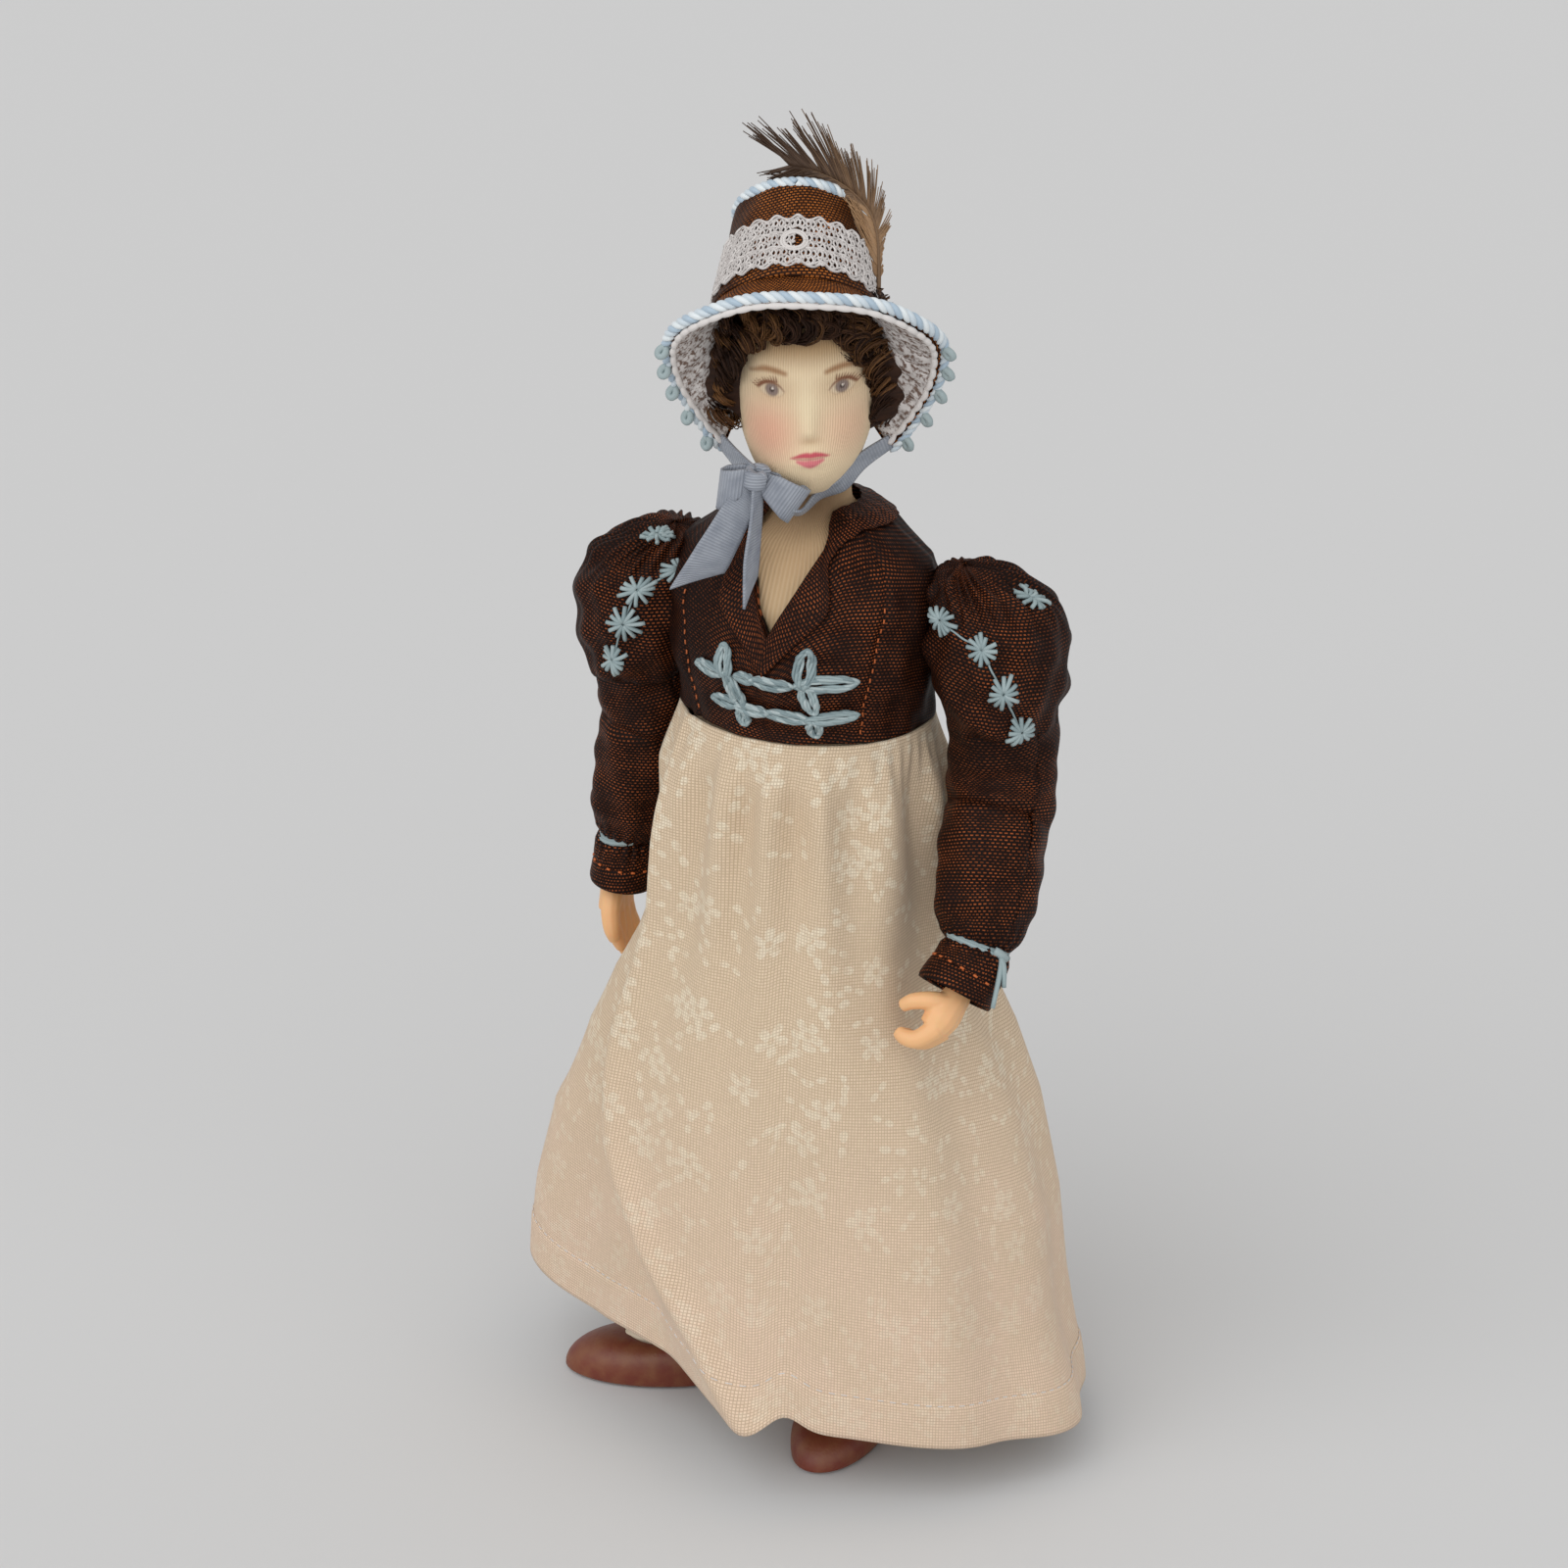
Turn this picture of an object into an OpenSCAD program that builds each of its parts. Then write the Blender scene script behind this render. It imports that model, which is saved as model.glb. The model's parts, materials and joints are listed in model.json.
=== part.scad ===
// Dressed miniature lady doll on a wire armature, one twelfth scale.
// The doll faces -Y, its left hand is on +X, and the floor is the plane z = 0.

/* [Armature] */
// Diameter of the armature wire
wire_d = 1.2; // [0.8:0.1:1.4]
// Height of the hip wire
hip_z = 60; // [59:0.5:61]
// Distance of each hip from the middle
hip_x = 6.4; // [6.3:0.1:6.6]
// Height of the knees
knee_z = 32.5; // [31:0.5:34]
// Height of the shoulder wire
shoulder_z = 92; // [91.5:0.5:92.5]
// Distance of each upper arm from the middle
shoulder_x = 20.3; // [20.2:0.1:20.6]
// Height of the elbows
elbow_z = 73; // [72.5:0.5:73.5]
// Length of the forearm from elbow to wrist
forearm_l = 18.4; // [18:0.2:19]
// Height at which the head nods on the neck
nod_z = 106; // [105.8:0.1:106.2]
// Distance of the neck behind the middle
neck_y = 1.5; // [1.3:0.1:1.7]

/* [Pose at rest] */
// Turn of the head to the doll's left
head_turn = 20; // [15:1:25]
// Backward swing of the right arm
arm_swing_right = 5; // [3:1:6]
// Forward bend of the left elbow
elbow_bend_left = 29; // [20:1:32]
// Forward bend of the right elbow
elbow_bend_right = 3; // [0:1:5]
// Outward lean of the left forearm
forearm_splay_left = 2; // [1:0.5:4]
// Outward lean of the right forearm
forearm_splay_right = 8.5; // [8:0.5:9.5]
// Outward lean of the right leg
leg_lean_right = 5; // [3:0.5:6]
// Outward turn of the left foot
toe_out_left = 0; // [0:1:6]
// Outward turn of the right foot
toe_out_right = 75; // [65:1:80]

/* [Stuffed body] */
// Half width of the chest
chest_rx = 12.6; // [12:0.1:12.8]
// Half depth of the chest
chest_ry = 9.7; // [9:0.1:10]
// Half width of the waist
waist_rx = 9.6; // [9:0.1:10]
// Half depth of the waist
waist_ry = 7.6; // [7:0.1:8]
// Half width of the hips
hip_rx = 11.2; // [10.5:0.1:11.5]
// Half depth of the hips
hip_ry = 8.8; // [8:0.1:9.2]
// Radius of the neck
neck_r = 3.7; // [3.5:0.1:3.8]
// Radius of the arm stuffing
arm_r = 2.6; // [2.4:0.1:2.7]
// Radius of the thigh at the hip
thigh_r = 4.6; // [4.3:0.1:4.7]
// Radius of the leg at the knee
knee_r = 3.9; // [3.6:0.1:4]
// Radius of the leg at the ankle
ankle_r = 2.5; // [2.3:0.1:2.7]
// Half width of the head
head_rx = 6.9; // [6.7:0.1:7]
// Half depth of the head
head_ry = 8; // [7.8:0.1:8.1]
// Height of the head from chin to top
head_h = 21; // [20.6:0.2:21.2]

/* [Hands and slippers] */
// Width of the hand
hand_w = 4.2; // [3.8:0.1:4.4]
// Thickness of the hand
hand_t = 2.5; // [2.2:0.1:2.7]
// Length of the hand below the wrist
hand_l = 8.2; // [8:0.2:8.6]
// Length of the slipper
slipper_l = 18; // [17:0.2:19]
// Width of the slipper at the ball of the foot
slipper_w = 7.6; // [7.2:0.1:8]
// Height of the slipper at the heel
slipper_h = 4.2; // [4:0.1:4.5]
// Thickness of the slipper's leather
slipper_t = 0.7; // [0.6:0.1:0.9]

/* [Jacket] */
// Thickness of the jacket cloth with its lining
jacket_t = 1; // [0.8:0.1:1.1]
// Height of the jacket's lower edge
jacket_hem_z = 79.3; // [79.2:0.1:79.6]
// Height of the jacket's neck edge at the back
jacket_top_z = 98.6; // [98:0.2:99]
// Height of the point of the V neck
v_neck_z = 91.3; // [90.8:0.1:92]
// Half width of the V neck at its top
v_neck_w = 5.2; // [4.8:0.1:5.6]
// Width of the rolled collar
collar_w = 2.6; // [2.2:0.1:2.8]
// Thickness of the rolled collar
collar_t = 0.8; // [0.6:0.1:0.9]
// Thickness of the braid of the front fastenings
frog_d = 1; // [0.8:0.1:1.2]
// Half length of each front fastening
frog_half_l = 7.7; // [7:0.1:8]
// Half width of a puffed sleeve
puff_r = 5.8; // [5.5:0.1:5.9]
// Half depth of a puffed sleeve
puff_ry = 7.4; // [7:0.1:7.8]
// Height of a puffed sleeve
puff_h = 17; // [16.5:0.1:17]
// Radius of the narrow sleeve
sleeve_r = 3.6; // [3.5:0.1:3.7]
// Thickness of the narrow sleeve's cloth
sleeve_t = 0.7; // [0.6:0.1:0.75]
// Length of the cuff
cuff_l = 5.2; // [4.8:0.1:5.4]

/* [Skirt] */
// Thickness of the skirt cloth with its underskirt
skirt_t = 0.8; // [0.6:0.1:1]
// Thickness of the waistband
band_t = 0.5; // [0.4:0.05:0.6]
// Depth of the waistband
band_h = 3.2; // [2.8:0.1:3.6]
// Half width of the skirt at the hem
hem_rx = 29.3; // [29:0.1:31]
// Half depth of the skirt at the hem
hem_ry = 20.5; // [20:0.1:22]
// Middle height of the hem
hem_z = 9; // [8.6:0.1:9.6]
// Drop of the hem on the doll's left and its rise on the right
hem_tilt = 3.9; // [3.4:0.1:4.2]
// Depth of the skirt's small folds
fold_depth = 1.4; // [1.1:0.1:1.6]
// Depth of the recess beside the main fold, at the hem
main_fold_depth = 4.5; // [3.8:0.1:5]
// Height of the main fold's ridge above the cloth beside it
ridge_h = 1.1; // [0.8:0.1:1.4]
// Swell of the skirt on the doll's right, below the hand
side_swell = 2.2; // [1.8:0.1:2.6]
// Flare of the hem on the doll's left
corner_flare = 2.2; // [1.6:0.1:2.6]
// Dip of the hem where the main fold ends
hem_dip = 1.2; // [0.8:0.1:1.4]
// Room between the skirt and the right hand as it turns
hand_clear = 2.9; // [2.6:0.1:3.2]

/* [Bonnet] */
// Backward tilt of the bonnet's axis above the horizontal
bonnet_tilt = 40; // [38:1:42]
// Radius of the crown at its base
crown_base_r = 7.8; // [7.6:0.1:8]
// Radius of the crown at its top
crown_top_r = 6; // [5.8:0.1:6.2]
// Length of the crown
crown_l = 10; // [9.6:0.1:10.2]
// Thickness of the crown and brim
bonnet_t = 0.8; // [0.7:0.1:0.9]
// Thickness of the brim's lining
lining_t = 0.4; // [0.3:0.05:0.5]
// Half width of the brim's edge
brim_rx = 14.5; // [14:0.1:14.8]
// Rise of the brim's edge above its middle
brim_up = 8.1; // [7.8:0.1:8.6]
// Drop of the brim's edge below its middle at the cheeks
brim_down = 13; // [12:0.1:13.4]
// Thickness of the satin cords
cord_d = 1.1; // [0.9:0.1:1.2]
// Width of the lace band
lace_l = 5.6; // [5.2:0.1:5.8]
// Thickness of the hair
hair_t = 2; // [1.8:0.1:2.1]
// Width of the ribbon
ribbon_w = 4; // [3.6:0.1:4.2]
// Thickness of the ribbon
ribbon_t = 0.35; // [0.3:0.05:0.4]

/* [Hidden] */
// Clearance between layers that are sewn together
gap = 0.15;
// Clearance between pieces that move past each other
play = 0.35;

// Clearance of a wire that turns in its bore
wire_play = 0.08;
wire_r = wire_d / 2;
// The hip and shoulder wires lie a little behind the middle
wire_y = 0.5;
sides = 24;
limb_sides = 16;
$fn = 32;

silk = [0.2, 0.11, 0.08];
bonnet_silk = [0.48, 0.27, 0.12];
skin = [0.86, 0.76, 0.58];
clay = [0.9, 0.77, 0.62];
muslin = [0.84, 0.78, 0.67];
blue = [0.66, 0.77, 0.84];
slate = [0.58, 0.64, 0.74];
hair = [0.3, 0.2, 0.12];
steel = [0.7, 0.7, 0.72];
leather = [0.48, 0.25, 0.19];
stocking = [0.9, 0.88, 0.84];
lace_white = [0.85, 0.84, 0.83];

// Heights of the torso's sections, from the seat up to the neck
seat_z = hip_z + thigh_r + play;
waist_z = hip_z + 11;
bust_z = shoulder_z - 6;
slope_z = shoulder_z + 4;
neck_root_z = shoulder_z + 7;
neck_base_z = shoulder_z + 8.5;

// Sections of the stuffed torso: height, half width, half depth, middle
torso = [
    [seat_z, hip_rx - 2.2, hip_ry - 2.2, 0.6],
    [seat_z + 1.4, hip_rx, hip_ry, 0.6],
    [waist_z, waist_rx, waist_ry, 0.3],
    [waist_z + 8, waist_rx + 1.8, waist_ry + 1.2, 0],
    [bust_z, chest_rx, chest_ry, -0.6],
    [shoulder_z, chest_rx + 0.2, chest_ry - 1.3, -0.3],
    [slope_z, chest_rx - 1.1, chest_ry - 3.2, 0.3],
    [neck_root_z, neck_r + 3.8, neck_r + 1.1, 1],
    [neck_base_z, neck_r + 0.8, neck_r + 0.5, neck_y]
];
torso_rx_at = [for (s = torso) [s[0], s[1]]];
torso_ry_at = [for (s = torso) [s[0], s[2]]];
torso_cy_at = [for (s = torso) [s[0], s[3]]];

// Points and faces of rings
function unit(v) = v / norm(v);
function ellipse_ring(c, rx, ry, n) =
    [for (i = [0:n - 1]) c + [rx * cos(360 * i / n), ry * sin(360 * i / n), 0]];
function torso_ring(z, away) =
    ellipse_ring([0, lookup(z, torso_cy_at), z], lookup(z, torso_rx_at) + away,
        lookup(z, torso_ry_at) + away, sides);
function torso_point(z, angle, away) =
    [(lookup(z, torso_rx_at) + away) * sin(angle),
     lookup(z, torso_cy_at) - (lookup(z, torso_ry_at) + away) * cos(angle), z];
function flat(rings) = [for (r = rings) each r];
function wall_faces(a, b, n) = [for (i = [0:n - 1]) each [
    [a * n + i, b * n + i, b * n + (i + 1) % n],
    [a * n + i, b * n + (i + 1) % n, a * n + (i + 1) % n]]];

// A solid through rings that rise, closed by its first and last ring
module loft(rings) {
    n = len(rings[0]);
    last = len(rings) - 1;
    walls = [for (r = [0:last - 1]) each wall_faces(r, r + 1, n)];
    first_cap = [for (i = [1:n - 2]) [0, i, i + 1]];
    last_cap = [for (i = [1:n - 2]) [last * n, last * n + i + 1, last * n + i]];
    polyhedron(flat(rings), concat(walls, first_cap, last_cap));
}

// A shell through outer rings that rise and inner rings that fall
module shell(outer, inner) {
    rings = concat(outer, inner);
    n = len(rings[0]);
    rows = len(rings);
    polyhedron(flat(rings), [for (r = [0:rows - 1]) each wall_faces(r, (r + 1) % rows, n)]);
}

// Direction of a path at one of its points
function heading(path, i) = unit(path[min(i + 1, len(path) - 1)] - path[max(i - 1, 0)]);

// A round cord along a path, with one radius for each point
module cord(path, radii, n = 8) {
    loft([for (i = [0:len(path) - 1])
        let (t = heading(path, i), u = unit(cross(t, [0.31, 0.52, 0.8])), v = cross(t, u))
        [for (k = [0:n - 1]) path[i] + radii[i] * (u * cos(360 * k / n) + v * sin(360 * k / n))]]);
}

// A flat strip along a path, with the direction of its width at each point
module strip(path, across, half_w, half_t) {
    loft([for (i = [0:len(path) - 1])
        let (t = heading(path, i), v = unit(cross(t, across[i])), u = cross(v, t))
        let (w = u * half_w[i], h = v * half_t)
        [path[i] + w + h, path[i] - w + h, path[i] - w - h, path[i] + w - h]]);
}

// A wire lying along X through a point
module wire_x(x, z, half_l, r) {
    translate([x - half_l, wire_y, z]) rotate([0, 90, 0]) cylinder(h = 2 * half_l, r = r);
}

// The stuffed torso with its bores for the wires, and a tongue between the thighs
tongue_w = hip_x - thigh_r - play;
tongue_d = 4;
hip_wire_l = hip_x + 2;
shoulder_wire_l = shoulder_x + 1.5;
spine_low_z = hip_z;
spine_high_z = shoulder_z + 1.5;
neck_wire_low_z = spine_high_z + 1;
neck_wire_high_z = nod_z - 1;

module torso_stuffing() {
    color(skin) difference() {
        union() {
            loft([for (s = torso) torso_ring(s[0], 0)]);
            translate([-tongue_w, wire_y - tongue_d, hip_z - 3])
                cube([2 * tongue_w, 2 * tongue_d, seat_z - hip_z + 4]);
        }
        translate([0, wire_y, spine_low_z]) cylinder(h = spine_high_z - spine_low_z + gap, r = wire_r + gap);
        translate([0, neck_y, neck_wire_low_z - gap])
            cylinder(h = neck_base_z - neck_wire_low_z + 1, r = wire_r + wire_play);
        wire_x(0, hip_z, hip_wire_l, wire_r + gap);
        wire_x(0, shoulder_z, shoulder_wire_l, wire_r + gap);
    }
}

module spine_wire() {
    color(steel) union() {
        translate([0, wire_y, spine_low_z]) cylinder(h = spine_high_z - spine_low_z, r = wire_r);
        wire_x(0, hip_z, hip_wire_l, wire_r);
        wire_x(0, shoulder_z, shoulder_wire_l, wire_r);
    }
}

// The short jacket, a shell over the torso with a V neck
jacket_in = gap;
jacket_out = gap + jacket_t;
jacket_levels = [jacket_hem_z, jacket_hem_z + 3, bust_z, shoulder_z, slope_z, jacket_top_z];

module v_neck_cut() {
    rise = jacket_top_z - v_neck_z;
    rotate([90, 0, 0]) linear_extrude(chest_ry + 4)
        polygon([[0, v_neck_z], [2 * v_neck_w, v_neck_z + 2 * rise], [-2 * v_neck_w, v_neck_z + 2 * rise]]);
}

module jacket_body() {
    last = len(jacket_levels) - 1;
    color(silk) difference() {
        shell([for (z = jacket_levels) torso_ring(z, jacket_out)],
            [for (i = [last:-1:0]) torso_ring(jacket_levels[i], jacket_in)]);
        v_neck_cut();
        wire_x(0, shoulder_z, shoulder_wire_l, wire_r + gap);
    }
}

// The rolled collar runs up one edge of the V neck, round the nape and down the other edge
collar_away = jacket_out + play + collar_t / 2;
collar_low_z = v_neck_z + 1.4;
collar_high_z = jacket_top_z - 0.4;
collar_rows = 16;
nape_share = 0.6;
function v_neck_angle(z) =
    asin((v_neck_w * (z - v_neck_z) / (jacket_top_z - v_neck_z) + collar_w / 2 + gap)
        / (lookup(z, torso_rx_at) + collar_away));
// Height and bearing of each row of the collar
collar_places = [for (i = [-collar_rows:collar_rows - 1])
    let (t = 1 - abs(i) / collar_rows, side = i < 0 ? -1 : 1)
    let (rise = min(1, t / (1 - nape_share)), round = max(0, t - 1 + nape_share) / nape_share)
    let (z = collar_low_z + (collar_high_z - collar_low_z) * rise, a = v_neck_angle(z))
    [z, side * (a + (180 - a) * round)]];
collar_path = [for (c = collar_places) torso_point(c[0], c[1], collar_away)];
function torso_normal(z, a) = unit(cross(
    torso_point(z, a + 1, 0) - torso_point(z, a - 1, 0),
    torso_point(z + 0.6, a, 0) - torso_point(z - 0.6, a, 0)));
function collar_across(i) =
    cross(torso_normal(collar_places[i][0], collar_places[i][1]), heading(collar_path, i));

module jacket_collar() {
    color(silk) strip(collar_path, [for (i = [0:len(collar_path) - 1]) collar_across(i)],
        [for (p = collar_path) collar_w / 2], collar_t / 2);
}

// Two rows of braid close the front
frog_rows = 10;
frog_upper_z = jacket_hem_z + 6.6;
frog_lower_z = jacket_hem_z + 3.2;

module frog(z) {
    reach = asin(frog_half_l / (lookup(z, torso_rx_at) + jacket_out));
    path = [for (i = [0:frog_rows])
        torso_point(z, reach * (2 * i / frog_rows - 1), jacket_out + gap + frog_d / 2)];
    color(blue) cord(path, [for (p = path) frog_d / 2]);
}
module frog_upper() { frog(frog_upper_z); }
module frog_lower() { frog(frog_lower_z); }

// The gathered skirt hangs from its waistband in folds, with a hem that dips to the left
skirt_top_z = jacket_hem_z - gap;
skirt_top_in = gap + band_t + gap;
skirt_sides = 72;
// Sections: share of the drop to the hem, half width and half depth
skirt_plan = [
    [0, lookup(skirt_top_z, torso_rx_at) + skirt_top_in + skirt_t,
        lookup(skirt_top_z, torso_ry_at) + skirt_top_in + skirt_t],
    [0.06, chest_rx + 1.2, chest_ry + 2.4],
    [0.2, chest_rx + 3, chest_ry + 3.9],
    [0.3, chest_rx + 4.2, chest_ry + 5],
    [0.38, hem_rx - 10.2, hem_ry - 4.6],
    [0.46, hem_rx - 7.2, hem_ry - 3.5],
    [0.56, hem_rx - 4.4, hem_ry - 2.4],
    [0.7, hem_rx - 2.1, hem_ry - 1.3],
    [0.86, hem_rx - 0.7, hem_ry - 0.5],
    [1, hem_rx, hem_ry]
];
skirt_rx_at = [for (s = skirt_plan) [s[0], s[1]]];
skirt_ry_at = [for (s = skirt_plan) [s[0], s[2]]];
skirt_shares = [0, 0.06, 0.13, 0.21, 0.3, 0.38, 0.46, 0.55, 0.64, 0.72, 0.79, 0.86, 0.93, 1];
function ease(low, high, x) = let (t = max(0, min(1, (x - low) / (high - low)))) t * t * (3 - 2 * t);
function bell(x, w) = exp(-pow(x / w, 2));
function sum(list, i = 0) = i < len(list) ? list[i] + sum(list, i + 1) : 0;
function wrapped(a) = (a + 540) % 360 - 180;
// Bearing from the front, growing towards the doll's left
function bearing(a) = wrapped(a + 90);
function hem_height(b) = hem_z - hem_tilt * sin(b)
    - hem_dip * bell(b - 3, 8) - hem_dip / 2 * bell(b - 100, 30);
// The small folds stand at even steps from the front left round to the back right
fold_count = 7;
fold_first = 20;
fold_step = 36;
fold_w = 10;
function small_folds(b, share) = fold_depth * (0.3 + 0.7 * share) * ease(0.03, 0.25, share)
    * sum([for (k = [0:fold_count - 1])
        (k == 0 ? 0.5 : 1) * bell(wrapped(b - fold_first - fold_step * k - 6 * share), fold_w)]);
// The main fold's ridge starts by the right hip and swings to the front as it falls
ridge_at = [[0, -52], [0.15, -50], [0.3, -46], [0.5, -41], [0.65, -34], [0.8, -20], [1, 3]];
ridge_side = [[0, 9], [0.6, 11], [1, 30]];
function main_fold(b, share) = let (off = b - lookup(share, ridge_at))
    main_fold_depth * pow(share, 0.6) * ease(0.03, 0.25, share)
        * ease(0, -1, off / lookup(share, ridge_side)) * ease(-86, -50, b)
    - (ridge_h * sqrt(share) + ridge_h / 2 * bell(share - 0.14, 0.1)) * bell(off, 7);
function side_spread(b, share) = side_swell * ease(0.66, 0.92, share) * bell(b + 100, 24)
    + corner_flare * ease(0.82, 1, share) * bell(b - 84, 30);
// The hollow beside the right hand, round the skirt and down it
hand_hollow_at = -98;
hand_hollow_half_w = 38;
hand_hollow_share = (skirt_top_z - (elbow_z - forearm_l - hand_l / 2)) / (skirt_top_z - hem_z);
hand_hollow_reach = 0.31;
// The thumb's points below the wrist: towards the body, forward, down
thumb_r = 0.75;
thumb_path = [[0.2, 1.2, 1.8], [1, 2.4, 3.2], [2.2, 2.9, 4.8], [3, 2.7, 5.9]];
hand_sweep = max([for (p = thumb_path) norm([p.x, p.y])]) + thumb_r;
hand_x = shoulder_x + (forearm_l + hand_l / 2) * sin(forearm_splay_right);
skirt_rx_by_hand = lookup(hand_hollow_share, skirt_rx_at);
hand_hollow_depth = max(0, skirt_rx_by_hand + hand_sweep + hand_clear - hand_x);
function hand_hollow(b, share) =
    abs(b - hand_hollow_at) < hand_hollow_half_w
    ? (1 + cos(180 * (b - hand_hollow_at) / hand_hollow_half_w)) / 2
        * max(0, 1 - pow((share - hand_hollow_share) / hand_hollow_reach, 2)) : 0;
function fold_in(b, share) = small_folds(b, share) + main_fold(b, share)
    + hand_hollow_depth * hand_hollow(b, share) - side_spread(b, share);
function skirt_ring(share, away) = [for (i = [0:skirt_sides - 1])
    let (a = 360 * i / skirt_sides, b = bearing(a), out = away - fold_in(b, share))
    [(lookup(share, skirt_rx_at) + out) * cos(a), (lookup(share, skirt_ry_at) + out) * sin(a),
     skirt_top_z + (hem_height(b) - skirt_top_z) * share]];

module skirt() {
    last = len(skirt_shares) - 1;
    color(muslin) shell([for (i = [last:-1:0]) skirt_ring(skirt_shares[i], 0)],
        [for (share = skirt_shares) skirt_ring(share, -skirt_t)]);
}

module skirt_waistband() {
    low = skirt_top_z - band_h;
    levels = [low, waist_z + 8 > low && waist_z + 8 < skirt_top_z ? waist_z + 8 : (low + skirt_top_z) / 2,
        skirt_top_z];
    color(muslin) shell([for (z = levels) torso_ring(z, gap + band_t)],
        [for (i = [2:-1:0]) torso_ring(levels[i], gap)]);
}

// The neck ends in a ball, on which the head nods
module neck_stuffing() {
    low = neck_base_z + play;
    dome = [0, 25, 45, 62, 78];
    rings = concat(
        [ellipse_ring([0, neck_y, low], neck_r + 0.5, neck_r + 0.4, sides),
         ellipse_ring([0, neck_y, low + 2], neck_r, neck_r, sides)],
        [for (a = dome) ellipse_ring([0, neck_y, nod_z + neck_r * sin(a)],
            neck_r * cos(a), neck_r * cos(a), sides)]);
    color(skin) difference() {
        loft(rings);
        translate([0, neck_y, low - 1]) cylinder(h = neck_wire_high_z - low + 1 + gap, r = wire_r + gap);
    }
}

module neck_wire() {
    color(steel) translate([0, neck_y, neck_wire_low_z])
        cylinder(h = neck_wire_high_z - neck_wire_low_z, r = wire_r);
}

// Everything on the head is drawn facing forward and turned with it
module on_head() {
    translate([0, neck_y, 0]) rotate(head_turn) translate([0, -neck_y, 0]) children();
}

// The head is an egg with its narrow end at the chin
chin_z = nod_z - 1.4;
head_mid_z = chin_z + head_h / 2;
head_levels = [-84, -72, -58, -42, -25, -8, 10, 28, 46, 62, 76, 86];
function chin_share(a) = max(0, -sin(a));
function head_ring(a, away) =
    ellipse_ring([0, 0.5 - 1.2 * chin_share(a), head_mid_z + (head_h / 2 + away) * sin(a)],
        (head_rx * (1 - 0.12 * chin_share(a)) + away) * cos(a),
        (head_ry * (1 - 0.1 * chin_share(a)) + away) * cos(a), sides);
module head_form(away) { loft([for (a = head_levels) head_ring(a, away)]); }

module head_stuffing() {
    color(skin) on_head() difference() {
        head_form(0);
        translate([0, neck_y, nod_z]) sphere(neck_r + play);
    }
}

// The hair covers the head except for the face
face_w = 6.1;
face_h = 8.2;
face_z = chin_z + 7.6;
hair_low_z = chin_z + 2.9;
module wig() {
    color(hair) on_head() difference() {
        head_form(hair_t);
        head_form(gap);
        translate([0, -1, face_z]) rotate([90, 0, 0]) linear_extrude(2 * head_ry)
            polygon([for (a = [0:18:342]) [face_w * cos(a), face_h * sin(a)]]);
        translate([-2 * head_rx, -2 * head_ry, hair_low_z - head_h])
            cube([4 * head_rx, 4 * head_ry, head_h]);
    }
}

// The bonnet's own frame: z runs back along the crown, and -y is up on the brim
crown_low = 3;
crown_top = crown_low + crown_l;
brim_mid = [0, -5.8, head_mid_z + 3.7];
function crown_r(z) = crown_base_r + (crown_top_r - crown_base_r) * (z - crown_low) / crown_l;
module on_bonnet() {
    on_head() translate(brim_mid) rotate([bonnet_tilt - 90, 0, 0]) children();
}
module hair_room() { on_head() head_form(hair_t + gap); }

// A conical band round the crown, outside it by a distance
module crown_band(low, high, away, t) {
    on_bonnet() difference() {
        translate([0, 0, low])
            cylinder(h = high - low, r1 = crown_r(low) + away + t, r2 = crown_r(high) + away + t);
        translate([0, 0, low]) cylinder(h = high - low, r1 = crown_r(low) + away, r2 = crown_r(high) + away);
    }
}

module bonnet_crown() {
    color(bonnet_silk) difference() {
        crown_band(crown_low, crown_top, -bonnet_t, bonnet_t);
        hair_room();
    }
}

module bonnet_crown_top() {
    color(bonnet_silk) difference() {
        on_bonnet() translate([0, 0, crown_top + gap]) cylinder(h = bonnet_t, r = crown_top_r);
        hair_room();
    }
}

lace_low = crown_low + 0.9;
lace_t = 0.3;
module lace_band() {
    color(lace_white) difference() {
        crown_band(lace_low, lace_low + lace_l, gap, lace_t);
        hair_room();
    }
}

crown_cord_r = crown_top_r + gap + cord_d / 2;
module crown_cord() {
    color(blue) difference() {
        on_bonnet() translate([0, 0, crown_top]) rotate_extrude()
            translate([crown_cord_r + gap, 0]) circle(d = cord_d);
        hair_room();
    }
}

// The brim's edge: half an oval above, and sides that draw in towards the cheeks
brim_end = 150;
brim_step = 12.5;
brim_angles = [-brim_end:brim_step:brim_end];
cheek_in = 4.5;
function brim_t(a) = (abs(a) - 90) / (brim_end - 90);
function brim_edge(a) = abs(a) <= 90
    ? [brim_rx * sin(a), -brim_up * cos(a), 0]
    : [sign(a) * (brim_rx - cheek_in * pow(brim_t(a), 2)), brim_down * brim_t(a), 0];
function brim_out(a) = [sin(a), -cos(a), 0];
function brim_root(a, r) = [r * sin(a), -r * cos(a), crown_low];
function brim_section(a, behind, t, trim) =
    let (e = brim_edge(a) - trim * brim_out(a) + [0, 0, behind])
    let (i = brim_root(a, crown_base_r - bonnet_t) + [0, 0, behind - bonnet_t])
    let (h = [0, 0, t / 2])
    [e - h, i - h, i + h, e + h];

module bonnet_brim() {
    color(bonnet_silk) difference() {
        on_bonnet() loft([for (a = brim_angles) brim_section(a, 0, bonnet_t, 0)]);
        hair_room();
    }
}

lining_back = -(bonnet_t / 2 + gap + lining_t / 2);
module brim_lining() {
    color(lace_white) difference() {
        on_bonnet() loft([for (a = brim_angles) brim_section(a, lining_back, lining_t, 0.3)]);
        hair_room();
    }
}

module brim_cord() {
    path = [for (a = brim_angles) brim_edge(a) + (gap + cord_d / 2) * brim_out(a)];
    color(blue) on_bonnet() cord(path, [for (p = path) cord_d / 2]);
}

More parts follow.
